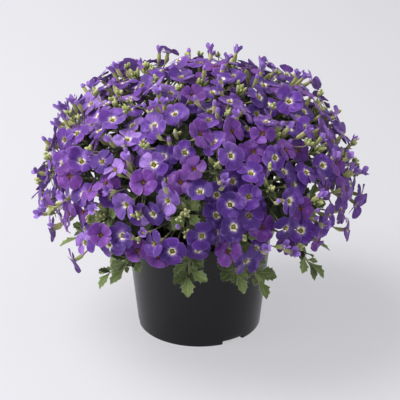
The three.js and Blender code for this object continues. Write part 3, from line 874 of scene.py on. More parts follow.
def add_spray(shape, spray, flowers, gaps, rng):
    """A whole spray: stem, rings of leaves, buds at the tip and its flowers."""
    shape.hair_cell = shape.cell(HAIR)
    ahead = spray["direction"]
    is_low = ahead[2] < math.cos(SKIRT_POLAR)
    line = spray["line"]
    share = np.linspace(0, 1, len(line))
    # The stem's marks make it darker towards its foot: painted shade inside the mound
    marks = line_marks(1 - 0.4 * share**3, rng.random())
    add_tube(shape, line[1:], STEM_GIRTH * (1 - 0.25 * share[1:]), STEM_SIDES, STEM, marks[1:])
    at_rosette = mound_place(ahead, spray["rosette"])
    around = stem_directions(at_rosette, ahead)
    reach = spray["reach"] * LEAF_STAR_SHARE
    for leaf in range(ROSETTE_LEAVES):
        angle = leaf * 2 * math.pi / ROSETTE_LEAVES
        way = leaf_direction(ahead, around, angle, ROSETTE_LIFT + rng.uniform(-0.1, 0.15))
        manner = leaf_manner(rng, LOW_ROSETTE_FRESH_AND_LIT if is_low else ROSETTE_FRESH_AND_LIT)
        add_leaf(shape, at_rosette, way, ahead, reach * rng.uniform(1, 1.12), manner, rng)
    rings = LEAF_RINGS + (SKIRT_RINGS if is_low else ())
    for place, count, size, lift, fresh in rings:
        start = rng.uniform(0, 2 * math.pi)
        for leaf in range(count):
            angle = start + leaf * 2 * math.pi / count + rng.uniform(-0.3, 0.3)
            way = leaf_direction(ahead, around, angle, lift + rng.uniform(-0.2, 0.2))
            base = mound_place(ahead, spray["reach"] * (place + rng.uniform(-0.012, 0.012)))
            length = spray["reach"] * size * rng.uniform(0.85, 1.1)
            fresher = LOW_RINGS_FRESHER_AND_LIT if is_low and place > ROSETTE_SHARE else 0
            manner = leaf_manner(rng, fresh + fresher)
            manner["inner"] = place < ROSETTE_SHARE
            manner["width"] *= INNER_LEAVES_BROADER if manner["inner"] else 1
            add_leaf(shape, base, way, ahead, length, manner, rng)
    add_bud_head(shape, spray, around, rng)
    for flower in flowers:
        add_flower(shape, flower, rng)
    for kind, centre, root, direction in gaps:
        if kind == CLUSTER:
            add_cluster(shape, centre, root, direction, rng)
        else:
            add_opening(shape, centre, root, direction, kind == HALF_OPEN, rng)


def upwards(direction, share):
    """A direction turned towards upright, as shoots and buds grow."""
    return unit(direction + UP * share)


def add_bud_head(shape, spray, around, rng):
    """The close head of buds at a spray's tip, and a longer one below it that shows violet."""
    ahead = spray["direction"]
    tip = mound_place(ahead, spray["tip"] - 0.5)
    add_bud(shape, tip, ahead, HEAD_BUD_LENGTH, HEAD_BUD_GIRTH, rng.uniform(0.1, 0.5), rng)
    rings = BUD_RINGS if ahead[2] < TOP_RISE else TOP_BUD_RINGS
    for ring, (count, spread, length, drop) in enumerate(rings):
        for bud in range(count):
            angle = bud / count * 2 * math.pi + ring * 0.6 + rng.uniform(-0.25, 0.25)
            way = leaf_direction(ahead, around, angle, math.pi / 2 - spread + rng.uniform(-0.15, 0.15))
            way = upwards(way, 0.25)
            size = length * rng.uniform(0.8, 1.15)
            base = tip - ahead * drop
            add_bud(shape, base, way, size, size * RING_BUD_GIRTH, rng.uniform(0, 0.4), rng)
    angle = rng.uniform(0, 2 * math.pi)
    way = upwards(leaf_direction(ahead, around, angle, rng.uniform(0.7, 1.1)), 0.5)
    base = mound_place(ahead, spray["tip"] - rng.uniform(4, 9))
    length = rng.uniform(*LONG_BUD_LENGTH)
    add_bud(shape, base, way, length, LONG_BUD_GIRTH, rng.uniform(0.75, 1), rng)


def add_cluster(shape, centre, root, direction, rng):
    """A few slim green buds that part from one stalk."""
    ahead = upwards(direction + rng.normal(0, 0.15, 3), 0.6)
    joint = centre - ahead * 4
    line = bezier([joint, joint - ahead * 4, root + (joint - root) * 0.3, root], np.linspace(0, 1, 7))
    # Marks that make the stalk darker towards the root: painted shade inside the mound
    marks = line_marks(np.linspace(0.45, 1, 7), rng.random())
    add_tube(shape, line, np.linspace(0.5, STALK_GIRTH, 7), TWIG_SIDES, STEM, marks)
    across, over = cross_directions(ahead)
    count = rng.integers(*CLUSTER_BUDS)
    start = rng.uniform(0, 2 * math.pi)
    for bud in range(count):
        angle = start + bud / count * 2 * math.pi + rng.uniform(-0.3, 0.3)
        spread = 0.12 if bud == 0 else rng.uniform(0.25, 0.75)
        way = ahead * math.cos(spread) + turned(across, over, angle) * math.sin(spread)
        length = rng.uniform(*CLUSTER_BUD_LENGTH)
        girth = length * rng.uniform(*CLUSTER_BUD_GIRTH)
        add_bud(shape, joint, way, length, girth, rng.uniform(0, 0.5), rng)


def gap_places(sprays, flowers, rng):
    """What stands in the gaps between flowers, and where, in a list for each spray."""
    directions = np.array([spray["direction"] for spray in sprays])
    taken = [flower["centre"] for flower in flowers]
    rooms = [flower["reach"] * GAP_REACH_SHARE for flower in flowers]
    places = {spray["index"]: [] for spray in sprays}
    count = 0
    for _ in range(GAP_TURNS):
        if count == GAP_COUNT:
            break
        polar = math.acos(1 - rng.random() ** GAP_LOW_BIAS * (1 - math.cos(LOWEST_FLOWER)))
        direction = direction_of(rng.uniform(0, 2 * math.pi), polar)
        level = rng.uniform(GAP_LOWEST, GAP_HIGHEST + GAP_TOP_GAIN * max(direction[2], 0))
        centre = mound_place(direction, mound_radius(direction) + level)
        apart = np.linalg.norm(np.array(taken) - centre, axis=1) - np.array(rooms)
        if apart.min() < GAP_ROOM:
            continue
        owner = int(np.argmax(directions @ direction))
        spray = sprays[owner]
        if np.linalg.norm(centre - mound_place(spray["direction"], spray["tip"])) < GAP_TIP_ROOM:
            continue
        root = mound_place(spray["direction"], spray["tip"] - rng.uniform(*GAP_ROOT_DROP))
        kind = int(np.searchsorted(GAP_KINDS, rng.random()))
        places[owner].append((kind, centre, root, direction))
        taken.append(centre)
        rooms.append(GAP_ROOM)
        count += 1
    return places


def add_opening(shape, centre, root, direction, is_open, rng):
    """A flower about to open: a long calyx on its stalk, with furled or half-spread petals."""
    towards = unit(centre - root)
    facing = upwards(direction + 0.3 * towards + rng.normal(0, 0.25, 3), 0.8)
    length = rng.uniform(*OPENING_CALYX)
    foot = centre - facing * length
    line = bezier([centre, foot, foot - towards * 2, root], np.linspace(0, 1, 10))
    along = lengths_along(line)
    girths = np.interp(along, [0, 1, length * 0.75, length, length + 1],
                       [1.2, 1.5, 1.6, 1.1, STALK_GIRTH])
    shade = rng.random()
    # Marks that make the stalk darker down from the calyx: painted shade inside the mound
    tube = np.interp(along, [0, length, length + 1.5, length + 12], [0, 0.4, 0.5, 1])
    add_tube(shape, line, girths, STEM_SIDES, STEM, line_marks(tube, shade), lobes=0.08)
    spot = spot_on(centre, facing)
    turn = rng.uniform(0, math.pi)
    age = rng.uniform(0, 0.6)
    reach = rng.uniform(*(OPEN_REACH if is_open else CLOSED_REACH))
    spread = rng.uniform(1.2, 3.2)
    along = np.linspace(0, 1, 7)[:, None]
    aside = np.linspace(-1, 1, 5)[None, :]
    for petal in range(4):
        middle = turn + petal * math.pi / 2 + rng.uniform(-0.15, 0.15)
        if is_open:
            girth = 1.15 + spread * along**1.4 * rng.uniform(0.8, 1.2)
            wrap = 0.95 * np.sin(0.5 + along * 2.0)
            angle = middle + aside * wrap
            radius = girth + 0.35 * aside + 0 * along
            rise = -0.5 + reach * along * (1 - 0.3 * aside**2 * along)
        else:
            girth = 1.45 * np.sqrt(np.maximum(1 - (along * 0.98) ** 2.2, 0)) + 0.1
            wrap = 1.05 * (1 - 0.25 * along)
            angle = middle + aside * wrap + 0.9 * along
            radius = girth * (1 + 0.07 * aside)
            rise = -0.5 + reach * along + 0 * radius
        marks = grid_marks(0.3 + 0.65 * along, aside, shade, age)
        add_blade(shape, spot(radius, angle, rise), FURLED_THICK, (BACK, BACK), marks)


def shoot_line(azimuth, reach, height, sweep):
    outward = direction_of(math.radians(azimuth), math.pi / 2)
    sideways = np.array([-outward[1], outward[0], 0])
    corners = [
        outward * SHOOT_FOOT_RADIUS + UP * SOIL_TOP,
        outward * (SHOOT_FOOT_RADIUS + SHOOT_LEAN) + UP * (SOIL_TOP + SHOOT_RISE),
        outward * (reach - SHOOT_ARCH) + sideways * sweep / 2 + UP * (SOIL_TOP + SHOOT_ARCH),
        outward * reach + sideways * sweep + UP * height,
    ]
    return outward, sideways, corners


def place_on(corners, share):
    points = bezier(corners, [share, min(share + 0.02, 1.02)])
    return points[0], unit(points[1] - points[0])


def leaf_face(outward, ahead):
    face = outward + UP * LEAF_FACE_RISE
    return unit(face - ahead * (face @ ahead))


def add_shoot(shape, plan, index, rng):
    """A leafy shoot that arches over the rim, with the solid model's leaves and more among them."""
    shape.hair_cell = shape.cell(HAIR)
    outward, sideways, corners = shoot_line(*plan)
    share = np.linspace(0, 1, 18)
    line = bezier(corners, share)
    # The shoot's marks make it darker towards the soil: painted shade under the mound
    marks = line_marks(1 - 0.5 * share, rng.random())
    add_tube(shape, line, STEM_GIRTH * (1 - 0.35 * share), STEM_SIDES, STEM, marks)
    for order, place in enumerate(SHOOT_LEAF_PLACES):
        base, ahead = place_on(corners, place)
        hand = 1 if (order + index) % 2 == 0 else -1
        lean = ahead + sideways * hand * LEAF_SPREAD
        lean[2] += UPPER_LEAF_RISE if order % 3 == 0 else LOWER_LEAF_RISE
        lean = unit(lean)
        length = SHOOT_LEAF_LENGTH * (SHOOT_LEAF_LEAST + SHOOT_LEAF_GAIN * order)
        add_leaf(shape, base, lean, leaf_face(outward, lean), length, leaf_manner(rng, 0.75), rng)
        small = unit(ahead * 0.6 - sideways * hand * 0.9 + outward * 0.5)
        base, _ = place_on(corners, place + 0.04)
        length *= rng.uniform(0.45, 0.65)
        add_leaf(shape, base, small, leaf_face(outward, small), length, leaf_manner(rng, 0.85), rng)
    base, ahead = place_on(corners, 0.98)
    ahead = unit(ahead + outward * END_LEAF_LIFT)
    add_leaf(shape, base, ahead, leaf_face(outward, ahead), SHOOT_LEAF_LENGTH, leaf_manner(rng, 0.85), rng)
    for leaf in range(SHOOT_MORE_LEAVES):
        base, along = place_on(corners, rng.uniform(0.55, 1))
        angle = leaf * GOLDEN_ANGLE + index
        way = unit(along * 0.6 + outward * 0.7 + turned(sideways, UP, angle))
        length = SHOOT_LEAF_LENGTH * rng.uniform(0.6, 1.0)
        add_leaf(shape, base, way, leaf_face(outward, way), length, leaf_manner(rng, 0.6), rng)
    for turn in range(SHOOT_END_LEAVES):
        way = unit(ahead + turned(sideways, UP, turn * SHOOT_END_TURN) * 0.8)
        add_leaf(shape, base, way, leaf_face(outward, way), rng.uniform(5, 9), leaf_manner(rng, 0.9), rng)


def lathe(shape, profile, angles, kind, lift):
    """A closed turned shell over a profile of radius and height that starts and ends on the axis."""
    profile = np.asarray(profile, float)
    radius = profile[1:-1, :1]
    height = profile[1:-1, 1:]
    angle = angles[None, :]
    rows = len(radius)
    sides = len(angles)
    ring = np.stack([radius * np.sin(angle), -radius * np.cos(angle), lift(radius, height, angle)], 2)
    first = shape.add(ring, (0, 0, 0, 0))
    ends = shape.add([(0, 0, profile[0][1]), (0, 0, profile[-1][1])], (0, 0, 0, 0))
    row, side = (part.ravel() for part in np.indices((rows - 1, sides)))
    places = np.stack([np.stack([(side + right) / sides, (row + up) / (rows - 1)], 1)
                       for right, up in ((0, 0), (1, 0), (1, 1), (0, 1))], 1)
    shape.fill(first + ring_faces(rows, sides), places, kind)
    flat = np.stack([np.sin(angles), np.cos(angles)], 1) * 0.5 + 0.5
    places = np.stack([np.full((sides, 2), 0.5), flat, np.roll(flat, -1, axis=0)], 1)
    low = cap_faces(ends, first, sides)
    high = cap_faces(ends + 1, first + (rows - 1) * sides, sides)
    for cap, order in ((low, [0, 2, 1]), (high, [0, 1, 2])):
        shape.fill(cap[:, order], places[:, order], kind)


def fillet(profile, radii):
    """The profile with its corners rounded to the given radii."""
    rounded = []
    for index, (corner, radius) in enumerate(zip(profile, radii)):
        corner = np.asarray(corner, float)
        if radius == 0:
            rounded.append(corner)
            continue
        before = unit(np.asarray(profile[index - 1]) - corner)
        after = unit(np.asarray(profile[index + 1]) - corner)
        half = math.acos(max(-1, min(1, float(before @ after)))) / 2
        reach = radius / math.tan(half)
        for share in np.linspace(0, 1, 5):
            start = corner + before * reach
            end = corner + after * reach
            rounded.append((1 - share) ** 2 * start + 2 * share * (1 - share) * corner + share**2 * end)
    return rounded


def make_pot(materials):
    """The pot's shell, turned finely, with its rim band, foot ring and three foot notches."""
    rim_foot = POT_HEIGHT - RIM_HEIGHT
    slope = (WALL_TOP_RADIUS - FOOT_RADIUS) / POT_HEIGHT
    wall_at_rim = FOOT_RADIUS + slope * rim_foot
    inner_top = WALL_TOP_RADIUS - WALL
    inner_foot = FOOT_RADIUS - WALL
    ring = FOOT_RADIUS - FOOT_RING_WIDTH
    # Corners of the profile, each with the radius that it is rounded to
    profile = [
        ((0, FLOOR_RISE), 0),
        ((ring, FLOOR_RISE), 0),
        ((ring, 0), 0.4),
        ((FOOT_RADIUS, 0), 0.8),
        *(((FOOT_RADIUS + slope * height, height), 0) for height in (FLOOR_RISE + 0.6, 8, 45)),
        ((wall_at_rim, rim_foot), 0.5),
        ((RIM_RADIUS, rim_foot), 0.7),
        ((RIM_RADIUS, POT_HEIGHT), 1.1),
        ((inner_top, POT_HEIGHT), 0.6),
        ((inner_foot, FLOOR_RISE + WALL), 1.5),
        ((0, FLOOR_RISE + WALL), 0),
    ]
    rounded = fillet([corner for corner, _ in profile], [radius for _, radius in profile])
    notch_half = NOTCH_LENGTH / 2 / FOOT_RADIUS
    notches = [FIRST_NOTCH + notch / NOTCH_COUNT * 2 * math.pi for notch in range(NOTCH_COUNT)]
    columns = list(np.linspace(0, 2 * math.pi, POT_COLUMNS, endpoint=False))
    for middle in notches:
        for edge in (notch_half - NOTCH_EDGE, notch_half + NOTCH_EDGE):
            columns += [middle - edge, middle + edge]
    columns = np.unique(np.round(np.mod(columns, 2 * math.pi), 6))

    def lift(radius, height, angle):
        away = np.full_like(angle, math.pi)
        for middle in notches:
            away = np.minimum(away, np.abs(np.mod(angle - middle + math.pi, 2 * math.pi) - math.pi))
        inside = (away < notch_half) & (radius > ring - 1)
        return np.where(inside, np.maximum(height, FLOOR_RISE + 0 * angle), height + 0 * angle)

    shape = Shape()
    lathe(shape, rounded, columns, POT, lift)
    pot = shape.piece("pot_shell", materials, sharp_angle=POT_SHARP_ANGLE)
    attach(pot, "root")
    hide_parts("pot")


def make_crumbs(materials):
    """Crumbs of peat and grit that lie on the soil."""
    rng = np.random.default_rng(CRUMB_SEED)
    shape = Shape()
    cell = shape.cell(CRUMB)
    golden = (1 + math.sqrt(5)) / 2
    corners = [(-1, golden, 0), (1, golden, 0), (-1, -golden, 0), (1, -golden, 0), (0, -1, golden),
               (0, 1, golden), (0, -1, -golden), (0, 1, -golden), (golden, 0, -1), (golden, 0, 1),
               (-golden, 0, -1), (-golden, 0, 1)]
    faces = np.array([(0, 11, 5), (0, 5, 1), (0, 1, 7), (0, 7, 10), (0, 10, 11), (1, 5, 9),
                      (5, 11, 4), (11, 10, 2), (10, 7, 6), (7, 1, 8), (3, 9, 4), (3, 4, 2),
                      (3, 2, 6), (3, 6, 8), (3, 8, 9), (4, 9, 5), (2, 4, 11), (6, 2, 10),
                      (8, 6, 7), (9, 8, 1)])
    for _ in range(CRUMB_COUNT):
        distance = CRUMB_REACH * math.sqrt(rng.random())
        angle = rng.uniform(0, 2 * math.pi)
        size = rng.uniform(*CRUMB_SIZE) * np.array([rng.uniform(0.7, 1.3) for _ in range(3)])
        lump = np.array(corners) / 1.9 * size * rng.uniform(0.75, 1.2, (12, 1))
        height = SOIL_TOP - CRUMB_DOME * distance / CRUMB_REACH
        centre = np.array([distance * math.cos(angle), distance * math.sin(angle), height])
        pale = float(rng.random() < PALE_CRUMBS)
        first = shape.add(lump + centre, (0.5, 0.5, rng.random(), pale))
        shape.fill(first + faces, np.tile([0.5, 0.5], (len(faces), 3, 1)), CRUMB, cell)
    crumbs = shape.piece("soil_crumbs", materials)
    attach(crumbs, "root")


# Materials


class Tree:
    """A new material, with short ways to add the nodes that it uses."""

    def __init__(self, name):
        self.material = bpy.data.materials.new(name)
        self.material.use_nodes = True
        self.tree = self.material.node_tree

    def feed(self, socket, value):
        """Sets a socket to a value, or links it to another node's output."""
        if isinstance(value, (int, float, tuple)):
            socket.default_value = value
        else:
            self.tree.links.new(value, socket)

    def feed_named(self, node, values):
        for name, value in values.items():
            self.feed(node.inputs[name.replace("_", " ")], value)

    def node(self, kind, **values):
        node = self.tree.nodes.new("ShaderNode" + kind)
        self.feed_named(node, values)
        return node

    def surface(self, **values):
        self.feed_named(self.tree.nodes["Principled BSDF"], values)

    def marks(self):
        """The four marks of a point: along, aside, shade and age."""
        mark = self.node("Attribute")
        mark.attribute_name = "mark"
        parts = self.node("SeparateColor", Color=mark.outputs["Color"])
        return [*parts.outputs, mark.outputs["Alpha"]]

    def place(self):
        return self.node("TexCoord").outputs["Object"]

    def math(self, operation, *values):
        node = self.node("Math")
        node.operation = operation
        for socket, value in zip(node.inputs, values):
            self.feed(socket, value)
        return node.outputs[0]

    def times(self, first, second):
        return self.math("MULTIPLY", first, second)

    def plus(self, first, second):
        return self.math("ADD", first, second)

    def off_middle(self, aside):
        return self.math("ABSOLUTE", self.math("SUBTRACT", aside, 0.5))

    def between(self, source, low, high, start=0.0, end=1.0):
        """Goes smoothly from start to end as the source goes from low to high."""
        node = self.node("MapRange", Value=source, From_Min=low, From_Max=high, To_Min=start, To_Max=end)
        node.interpolation_type = "SMOOTHSTEP"
        return node.outputs["Result"]

    def mix(self, share, first, second, blend="MIX"):
        node = self.node("Mix")
        node.data_type = "RGBA"
        node.blend_type = blend
        for index, value in ((0, share), (6, first), (7, second)):
            self.feed(node.inputs[index], value)
        return node.outputs[2]

    def noise(self, scale, detail=2.0, roughness=0.5, vector=None):
        place = self.place() if vector is None else vector
        node = self.node("TexNoise", Scale=scale, Detail=detail, Roughness=roughness, Vector=place)
        return node.outputs["Fac"]

    def bump(self, height, strength, distance):
        node = self.node("Bump", Strength=strength, Distance=distance, Height=height)
        self.surface(Normal=node.outputs["Normal"])


def colour(red, green, blue):
    """A colour given as on a screen, from 0 to 255, made linear."""
    parts = []
    for part in (red, green, blue):
        part /= 255
        parts.append(part / 12.92 if part <= 0.04045 else ((part + 0.055) / 1.055) ** 2.4)
    return (*parts, 1)


def petal_material(name, back):
    """Violet petals with fine veins, paler at the rim with painted sheen, and a cream ring round the eye.
    """
    tree = Tree(name)
    along, aside, shade, age = tree.marks()
    deep = tree.mix(tree.between(shade, 0.1, 0.6), colour(49, 16, 96), colour(82, 32, 134))
    violet = tree.mix(tree.between(shade, 0.62, 1.0), deep, colour(150, 114, 190))
    aged = tree.mix(shade, colour(78, 26, 104), colour(112, 46, 142))
    body = tree.mix(tree.between(age, 0.45, 0.9), violet, aged)
    drift = tree.noise(16, 2, 0.6)
    body = tree.mix(tree.between(drift, 0.5, 0.68, 0, 0.35), body, colour(106, 38, 134))
    centred = tree.off_middle(aside)
    # The paler rim is painted sheen: the light that the velvety edge of a thin petal catches
    rim = tree.math("MAXIMUM", tree.between(centred, 0.36, 0.5), tree.between(along, 0.82, 1.0))
    rim = tree.times(rim, tree.between(shade, 0.2, 0.8, 0.06, 0.24))
    body = tree.mix(rim, body, colour(168, 134, 206))
    place = tree.node("CombineXYZ", X=tree.times(aside, 16), Y=tree.times(along, 1.6),
                      Z=tree.times(shade, 50))
    spread = tree.noise(1.0, 2, 0.6, place.outputs[0])
    veins = tree.between(spread, 0.46, 0.62)
    fade = tree.between(along, 0.15, 0.95, 0.6, 0.3)
    body = tree.mix(tree.times(veins, fade), body, colour(46, 20, 96))
    # Paler and darker patches: painted light and shade of the petal's undulations; the same noise also
    # bumps the surface
    waves = tree.noise(150, 2, 0.5)
    body = tree.mix(tree.between(waves, 0.52, 0.72, 0, 0.32), body, colour(152, 114, 194))
    body = tree.mix(tree.between(waves, 0.5, 0.32, 0, 0.46), body, colour(42, 17, 88))
    rays = tree.math("MULTIPLY_ADD", spread, 0.36, -0.18)
    claw = tree.plus(along, rays)
    claw = tree.plus(claw, tree.between(age, 0.0, 0.3, -0.05, 0))
    ring = tree.between(claw, 0.185, 0.06)
    young = tree.between(age, 0.62, 0.3)
    halo = tree.times(tree.between(claw, 0.4, 0.12, 0, 0.26), young)
    body = tree.mix(halo, body, colour(186, 160, 216))
    cream = tree.mix(young, colour(104, 50, 112), colour(238, 231, 202))
    body = tree.mix(ring, body, cream)
    olive = tree.mix(young, colour(92, 50, 44), colour(132, 130, 60))
    body = tree.mix(tree.between(along, 0.05, 0.025), body, olive)
    # The backs are paler: partly their own paler colour, partly a painted glow of light that shines through
    # the thin petal
    if back:
        body = tree.mix(0.72, body, colour(160, 122, 206))
    tree.surface(Base_Color=body, Roughness=0.62, Specular_IOR_Level=0.28, Sheen_Weight=0.26,
                 Sheen_Roughness=0.5, Sheen_Tint=(0.72, 0.5, 0.92, 1))
    height = tree.plus(tree.times(spread, 0.7), tree.times(waves, 2.4))
    tree.bump(height, 0.6, 0.0008)
    return tree.material


def eye_material():
    """The hollow throat, olive green and darker inwards with painted shade."""
    tree = Tree("throat")
    along, _, _, age = tree.marks()
    # Darker towards the bottom of the hollow throat: painted shade
    fresh = tree.mix(along, colour(128, 126, 52), colour(44, 44, 16))
    old = tree.mix(along, colour(92, 54, 44), colour(36, 18, 16))
    body = tree.mix(tree.between(age, 0.4, 0.8), fresh, old)
    tree.surface(Base_Color=body, Roughness=0.7, Specular_IOR_Level=0.2)
    return tree.material


def anther_material():
    tree = Tree("anthers")
    _, _, _, age = tree.marks()
    grains = tree.between(tree.noise(2600, 1), 0.4, 0.65)
    fresh = tree.mix(grains, colour(186, 174, 70), colour(112, 112, 42))
    old = tree.mix(grains, colour(140, 92, 56), colour(88, 52, 40))
    body = tree.mix(tree.between(age, 0.4, 0.8), fresh, old)
    tree.surface(Base_Color=body, Roughness=0.85, Specular_IOR_Level=0.15)
    tree.bump(tree.noise(2600, 1), 0.5, 0.0002)
    return tree.material


def leaf_material():
    """Grey-green felted leaves with a paler midrib, side veins and margin."""
    tree = Tree("leaves")
    along, aside, shade, fresh = tree.marks()
    # Freshness darkens the leaves deep in the mound: partly older leaves, mostly painted shade
    deep = tree.mix(shade, colour(16, 22, 9), colour(32, 40, 17))
    light = tree.mix(shade, colour(86, 106, 54), colour(132, 150, 90))
    body = tree.mix(fresh, deep, light)
    centred = tree.off_middle(aside)
    midrib = tree.between(centred, 0.07, 0.015)
    slant = tree.plus(along, tree.times(centred, -0.35))
    waves = tree.math("ABSOLUTE", tree.math("SINE", tree.times(slant, 19)))
    side_veins = tree.between(waves, 0.16, 0.02)
    veins = tree.math("MAXIMUM", midrib, tree.times(side_veins, 0.3))
    # The veins, margin and felt stay dark on those leaves too, as part of the painted shade
    pale = tree.between(fresh, 0.1, 0.8, 0, 0.34)
    body = tree.mix(tree.times(veins, pale), body, colour(176, 192, 130))
    margin = tree.between(centred, 0.4, 0.5)
    body = tree.mix(tree.times(margin, pale), body, colour(206, 214, 164))
    felt = tree.noise(1800, 2, 0.7)
    grains = tree.times(tree.between(felt, 0.5, 0.72), tree.times(pale, 0.6))
    body = tree.mix(grains, body, colour(198, 206, 170))
    blotch = tree.noise(160, 2)
    body = tree.mix(tree.between(blotch, 0.4, 0.7, 0, 0.5), body, (0.5, 0.5, 0.5, 1), "MULTIPLY")
    tree.surface(Base_Color=body, Roughness=0.72, Specular_IOR_Level=0.25,
                 Sheen_Weight=0.08, Sheen_Roughness=0.5)
    height = tree.math("SUBTRACT", tree.times(felt, 0.4), veins)
    tree.bump(height, 0.4, 0.0004)
    return tree.material


def stem_material():
    """Stalks and calyces: yellow-green, tinged here and there, and darker down the stalk with painted shade
    inside the mound.
    """
    tree = Tree("stalks")
    along, _, shade, _ = tree.marks()
    calyx = tree.mix(shade, colour(138, 144, 78), colour(184, 184, 120))
    stalk = tree.mix(shade, colour(116, 122, 70), colour(156, 158, 106))
    body = tree.mix(tree.between(along, 0.38, 0.5), calyx, stalk)
    # Darker towards the root, deep inside the mound: painted shade
    body = tree.mix(tree.between(along, 0.5, 0.95), body, colour(36, 44, 18))
    tint = tree.times(tree.between(tree.noise(420, 2), 0.48, 0.62), 0.35)
    body = tree.mix(tint, body, colour(134, 104, 96))
    tree.surface(Base_Color=body, Roughness=0.68, Specular_IOR_Level=0.3,
                 Sheen_Weight=0.25, Sheen_Roughness=0.5)
    tree.bump(tree.noise(1500, 2), 0.35, 0.0003)
    return tree.material


def bud_material():
    """Green buds whose tips show cream, partly the petals and partly a painted highlight, or violet on the
    longest.
    """
    tree = Tree("buds")
    along, _, shade, tip = tree.marks()
    sepals = tree.mix(shade, colour(118, 128, 66), colour(170, 174, 108))
    body = tree.mix(tree.between(along, 0.3, 0.75), colour(82, 92, 46), sepals)
    # The cream tip is partly the petals showing and partly a painted highlight
    petals = tree.mix(tree.between(tip, 0.35, 0.8), colour(200, 200, 150), colour(146, 106, 194))
    edge = tree.plus(along, tree.times(tree.noise(500, 1), 0.2))
    body = tree.mix(tree.between(edge, 0.97, 1.12), body, petals)
    tree.surface(Base_Color=body, Roughness=0.6, Specular_IOR_Level=0.35,
                 Sheen_Weight=0.2, Sheen_Roughness=0.5)
    tree.bump(tree.noise(1500, 2), 0.3, 0.0003)
    return tree.material


def hair_material():
    tree = Tree("hairs")
    body = tree.mix(tree.noise(300, 1), colour(206, 212, 178), colour(232, 234, 214))
    tree.surface(Base_Color=body, Roughness=0.6, Specular_IOR_Level=0.3)
    return tree.material


def pot_material():
    """Moulded black plastic: a low sheen, a fine grain and faint dust."""
    tree = Tree("black_plastic")
    grain = tree.noise(1400, 3, 0.6)
    dust = tree.between(tree.noise(42, 4, 0.65), 0.5, 0.78)
    body = tree.mix(tree.times(dust, 0.1), colour(11, 11, 14), colour(46, 45, 50))
    gloss = tree.math("MULTIPLY_ADD", dust, 0.12, 0.28)
    tree.surface(Base_Color=body, Roughness=gloss, Specular_IOR_Level=0.32)
    tree.bump(grain, 0.12, 0.0002)
    return tree.material


def soil_material(name, crumb):
    tree = Tree(name)
    lumps = tree.noise(220, 5, 0.7)
    body = tree.mix(tree.between(lumps, 0.35, 0.7), colour(34, 24, 18), colour(78, 58, 42))
    if crumb:
        _, _, shade, pale = tree.marks()
        body = tree.mix(tree.times(shade, 0.5), body, colour(70, 52, 38))
        body = tree.mix(pale, body, colour(196, 192, 182))
    tree.surface(Base_Color=body, Roughness=0.95, Specular_IOR_Level=0.2)
    tree.bump(lumps, 0.8, 0.001)
    return tree.material


def make_materials():
    return {
        POT: pot_material(),
        CRUMB: soil_material("peat_crumbs", True),
        FACE: petal_material("petal_face", False),
        BACK: petal_material("petal_back", True),
        EYE: eye_material(),
        ANTHER: anther_material(),
        GREEN: leaf_material(),
        STEM: stem_material(),
        BUD: bud_material(),
        HAIR: hair_material(),
    }


# Studio

FRAME_SIDE = 400
FOCAL_PIXELS = 1437
SENSOR = 36
CAMERA_DISTANCE = 1150
CAMERA_ELEVATION = math.radians(24)
TARGET = np.array([0.0, 0.0, 100.0])
TARGET_PIXEL = (199.3, 206.8)
FLOOR_REACH = 2400
FLOOR_SWEEP = 900
BACKDROP_TOP = 3600
FLOOR_SIDES = 96
GLOW_PLACES = (-0.35, 0.45)
GLOW_STRENGTHS = (0.52, 0.43)
WORLD_STRENGTH = 0.39

# Square lights: place and side length in metres, power in watts, tint
LIGHTS = {
    "key": ((-1.15, 0.0, 2.15), 1.5, 74, (1, 0.99, 0.97)),
    "bounce": ((2.2, -0.9, 1.3), 1.6, 11, (0.99, 0.99, 1)),
    "side": ((-2.3, -0.7, 0.7), 1.2, 24, (1, 0.99, 0.98)),
    "fill": ((-0.5, -2.7, 1.7), 1.4, 8, (1, 0.99, 0.98)),
}
LIGHTS_AIM = np.array([0, 0, 0.1])


def make_camera():
    data = bpy.data.cameras.new("camera")
    data.sensor_width = SENSOR
    data.lens = FOCAL_PIXELS / FRAME_SIDE * SENSOR
    data.shift_x = (FRAME_SIDE / 2 - TARGET_PIXEL[0]) / FRAME_SIDE
    data.shift_y = (TARGET_PIXEL[1] - FRAME_SIDE / 2) / FRAME_SIDE
    data.clip_start = 0.05
    data.clip_end = 50
    camera = bpy.data.objects.new("camera", data)
    back = np.array([0, -math.cos(CAMERA_ELEVATION), math.sin(CAMERA_ELEVATION)])
    camera.location = (TARGET + back * CAMERA_DISTANCE) * MM
    camera.rotation_euler = (math.pi / 2 - CAMERA_ELEVATION, 0, 0)
    bpy.context.collection.objects.link(camera)
    bpy.context.scene.camera = camera


def make_floor():
    """A pale floor that rises into a backdrop in one sweep, on all sides."""
    turn = np.linspace(0.1, math.pi / 2, 10)
    level = np.linspace(150, FLOOR_REACH, 10)
    edge = FLOOR_REACH + FLOOR_SWEEP
    radii = np.concatenate([[0.001], level, FLOOR_REACH + FLOOR_SWEEP * np.sin(turn), [edge]])
    heights = np.concatenate([np.zeros(11), FLOOR_SWEEP - FLOOR_SWEEP * np.cos(turn), [BACKDROP_TOP]])
    angles = np.linspace(0, 2 * math.pi, FLOOR_SIDES + 1)[:-1]
    radius = radii[:, None]
    height = np.repeat(heights[:, None], FLOOR_SIDES, 1)
    shape = Shape()
    first = shape.add(np.stack([radius * np.cos(angles), radius * np.sin(angles), height], 2), (0, 0, 0, 0))
    faces = first + ring_faces(len(radii), FLOOR_SIDES)[:, [0, 3, 2, 1]]
    shape.fill(faces, np.zeros((len(faces), 4, 2)), POT)
    floor = shape.piece("studio_floor", {POT: floor_material()})


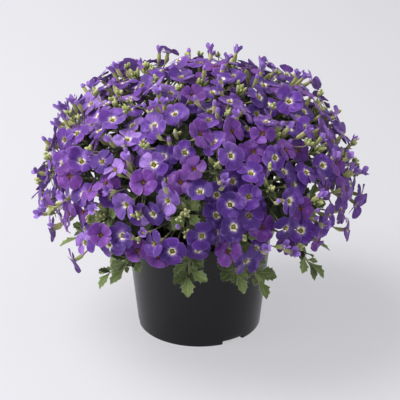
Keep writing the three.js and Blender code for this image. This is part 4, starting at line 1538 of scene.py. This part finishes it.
def floor_material():
    """Pale paper that glows a little, less towards the right: painted light that lifts the shadows and
    fades to the right as the lamps' light does.
    """
    tree = Tree("studio_floor")
    paper = tree.mix(tree.noise(3, 2), colour(123, 123, 128), colour(126, 126, 130))
    place = tree.node("SeparateXYZ", Vector=tree.place())
    # The glow is painted light: fill on the floor that fades towards the right
    glow = tree.between(place.outputs[0], *GLOW_PLACES, *GLOW_STRENGTHS)
    tree.surface(Base_Color=paper, Roughness=0.9, Specular_IOR_Level=0.1,
                 Emission_Color=(0.97, 0.97, 1.0, 1), Emission_Strength=glow)
    return tree.material


def add_light(name, place, side, power, tint):
    data = bpy.data.lights.new(name, "AREA")
    data.shape = "SQUARE"
    data.size = side
    data.energy = power
    data.color = tint
    light = bpy.data.objects.new(name, data)
    light.location = place
    aim = LIGHTS_AIM - np.array(place)
    light.rotation_euler = Vector(aim).to_track_quat("-Z", "Y").to_euler()
    bpy.context.collection.objects.link(light)


def make_light():
    world = bpy.data.worlds.new("studio")
    world.use_nodes = True
    background = world.node_tree.nodes["Background"]
    background.inputs["Color"].default_value = (0.98, 0.975, 1.0, 1)
    background.inputs["Strength"].default_value = WORLD_STRENGTH
    bpy.context.scene.world = world
    for name, light in LIGHTS.items():
        add_light(name, *light)
    bpy.context.scene.view_settings.view_transform = "Standard"


def dress_soil():
    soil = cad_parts["soil"]
    soil.data.materials.clear()
    soil.data.materials.append(soil_material("peat", False))


def make_sprays(materials):
    sprays = spray_plan()
    flowers = sown_flowers(sprays)
    gaps = gap_places(sprays, flowers, np.random.default_rng(SEED))
    for spray in sprays:
        name = f"spray_{spray['index'] + 1:02d}"
        rng = np.random.default_rng(SPRAY_SEED + spray["index"])
        shape = Shape()
        own = [flower for flower in flowers if flower["spray"] == spray["index"]]
        add_spray(shape, spray, own, gaps[spray["index"]], rng)
        piece = shape.piece(f"{name}_fine", materials)
        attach(piece, "root")
        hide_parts(name)


def make_shoots(materials):
    for index, plan in enumerate(SHOOTS):
        name = f"shoot_{index + 1:02d}"
        shape = Shape()
        add_shoot(shape, plan, index, np.random.default_rng(SHOOT_SEED + index))
        piece = shape.piece(f"{name}_fine", materials)
        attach(piece, "root")
        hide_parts(name)


MATERIALS = make_materials()
make_camera()
make_floor()
make_light()
make_pot(MATERIALS)
make_crumbs(MATERIALS)
dress_soil()
make_sprays(MATERIALS)
make_shoots(MATERIALS)
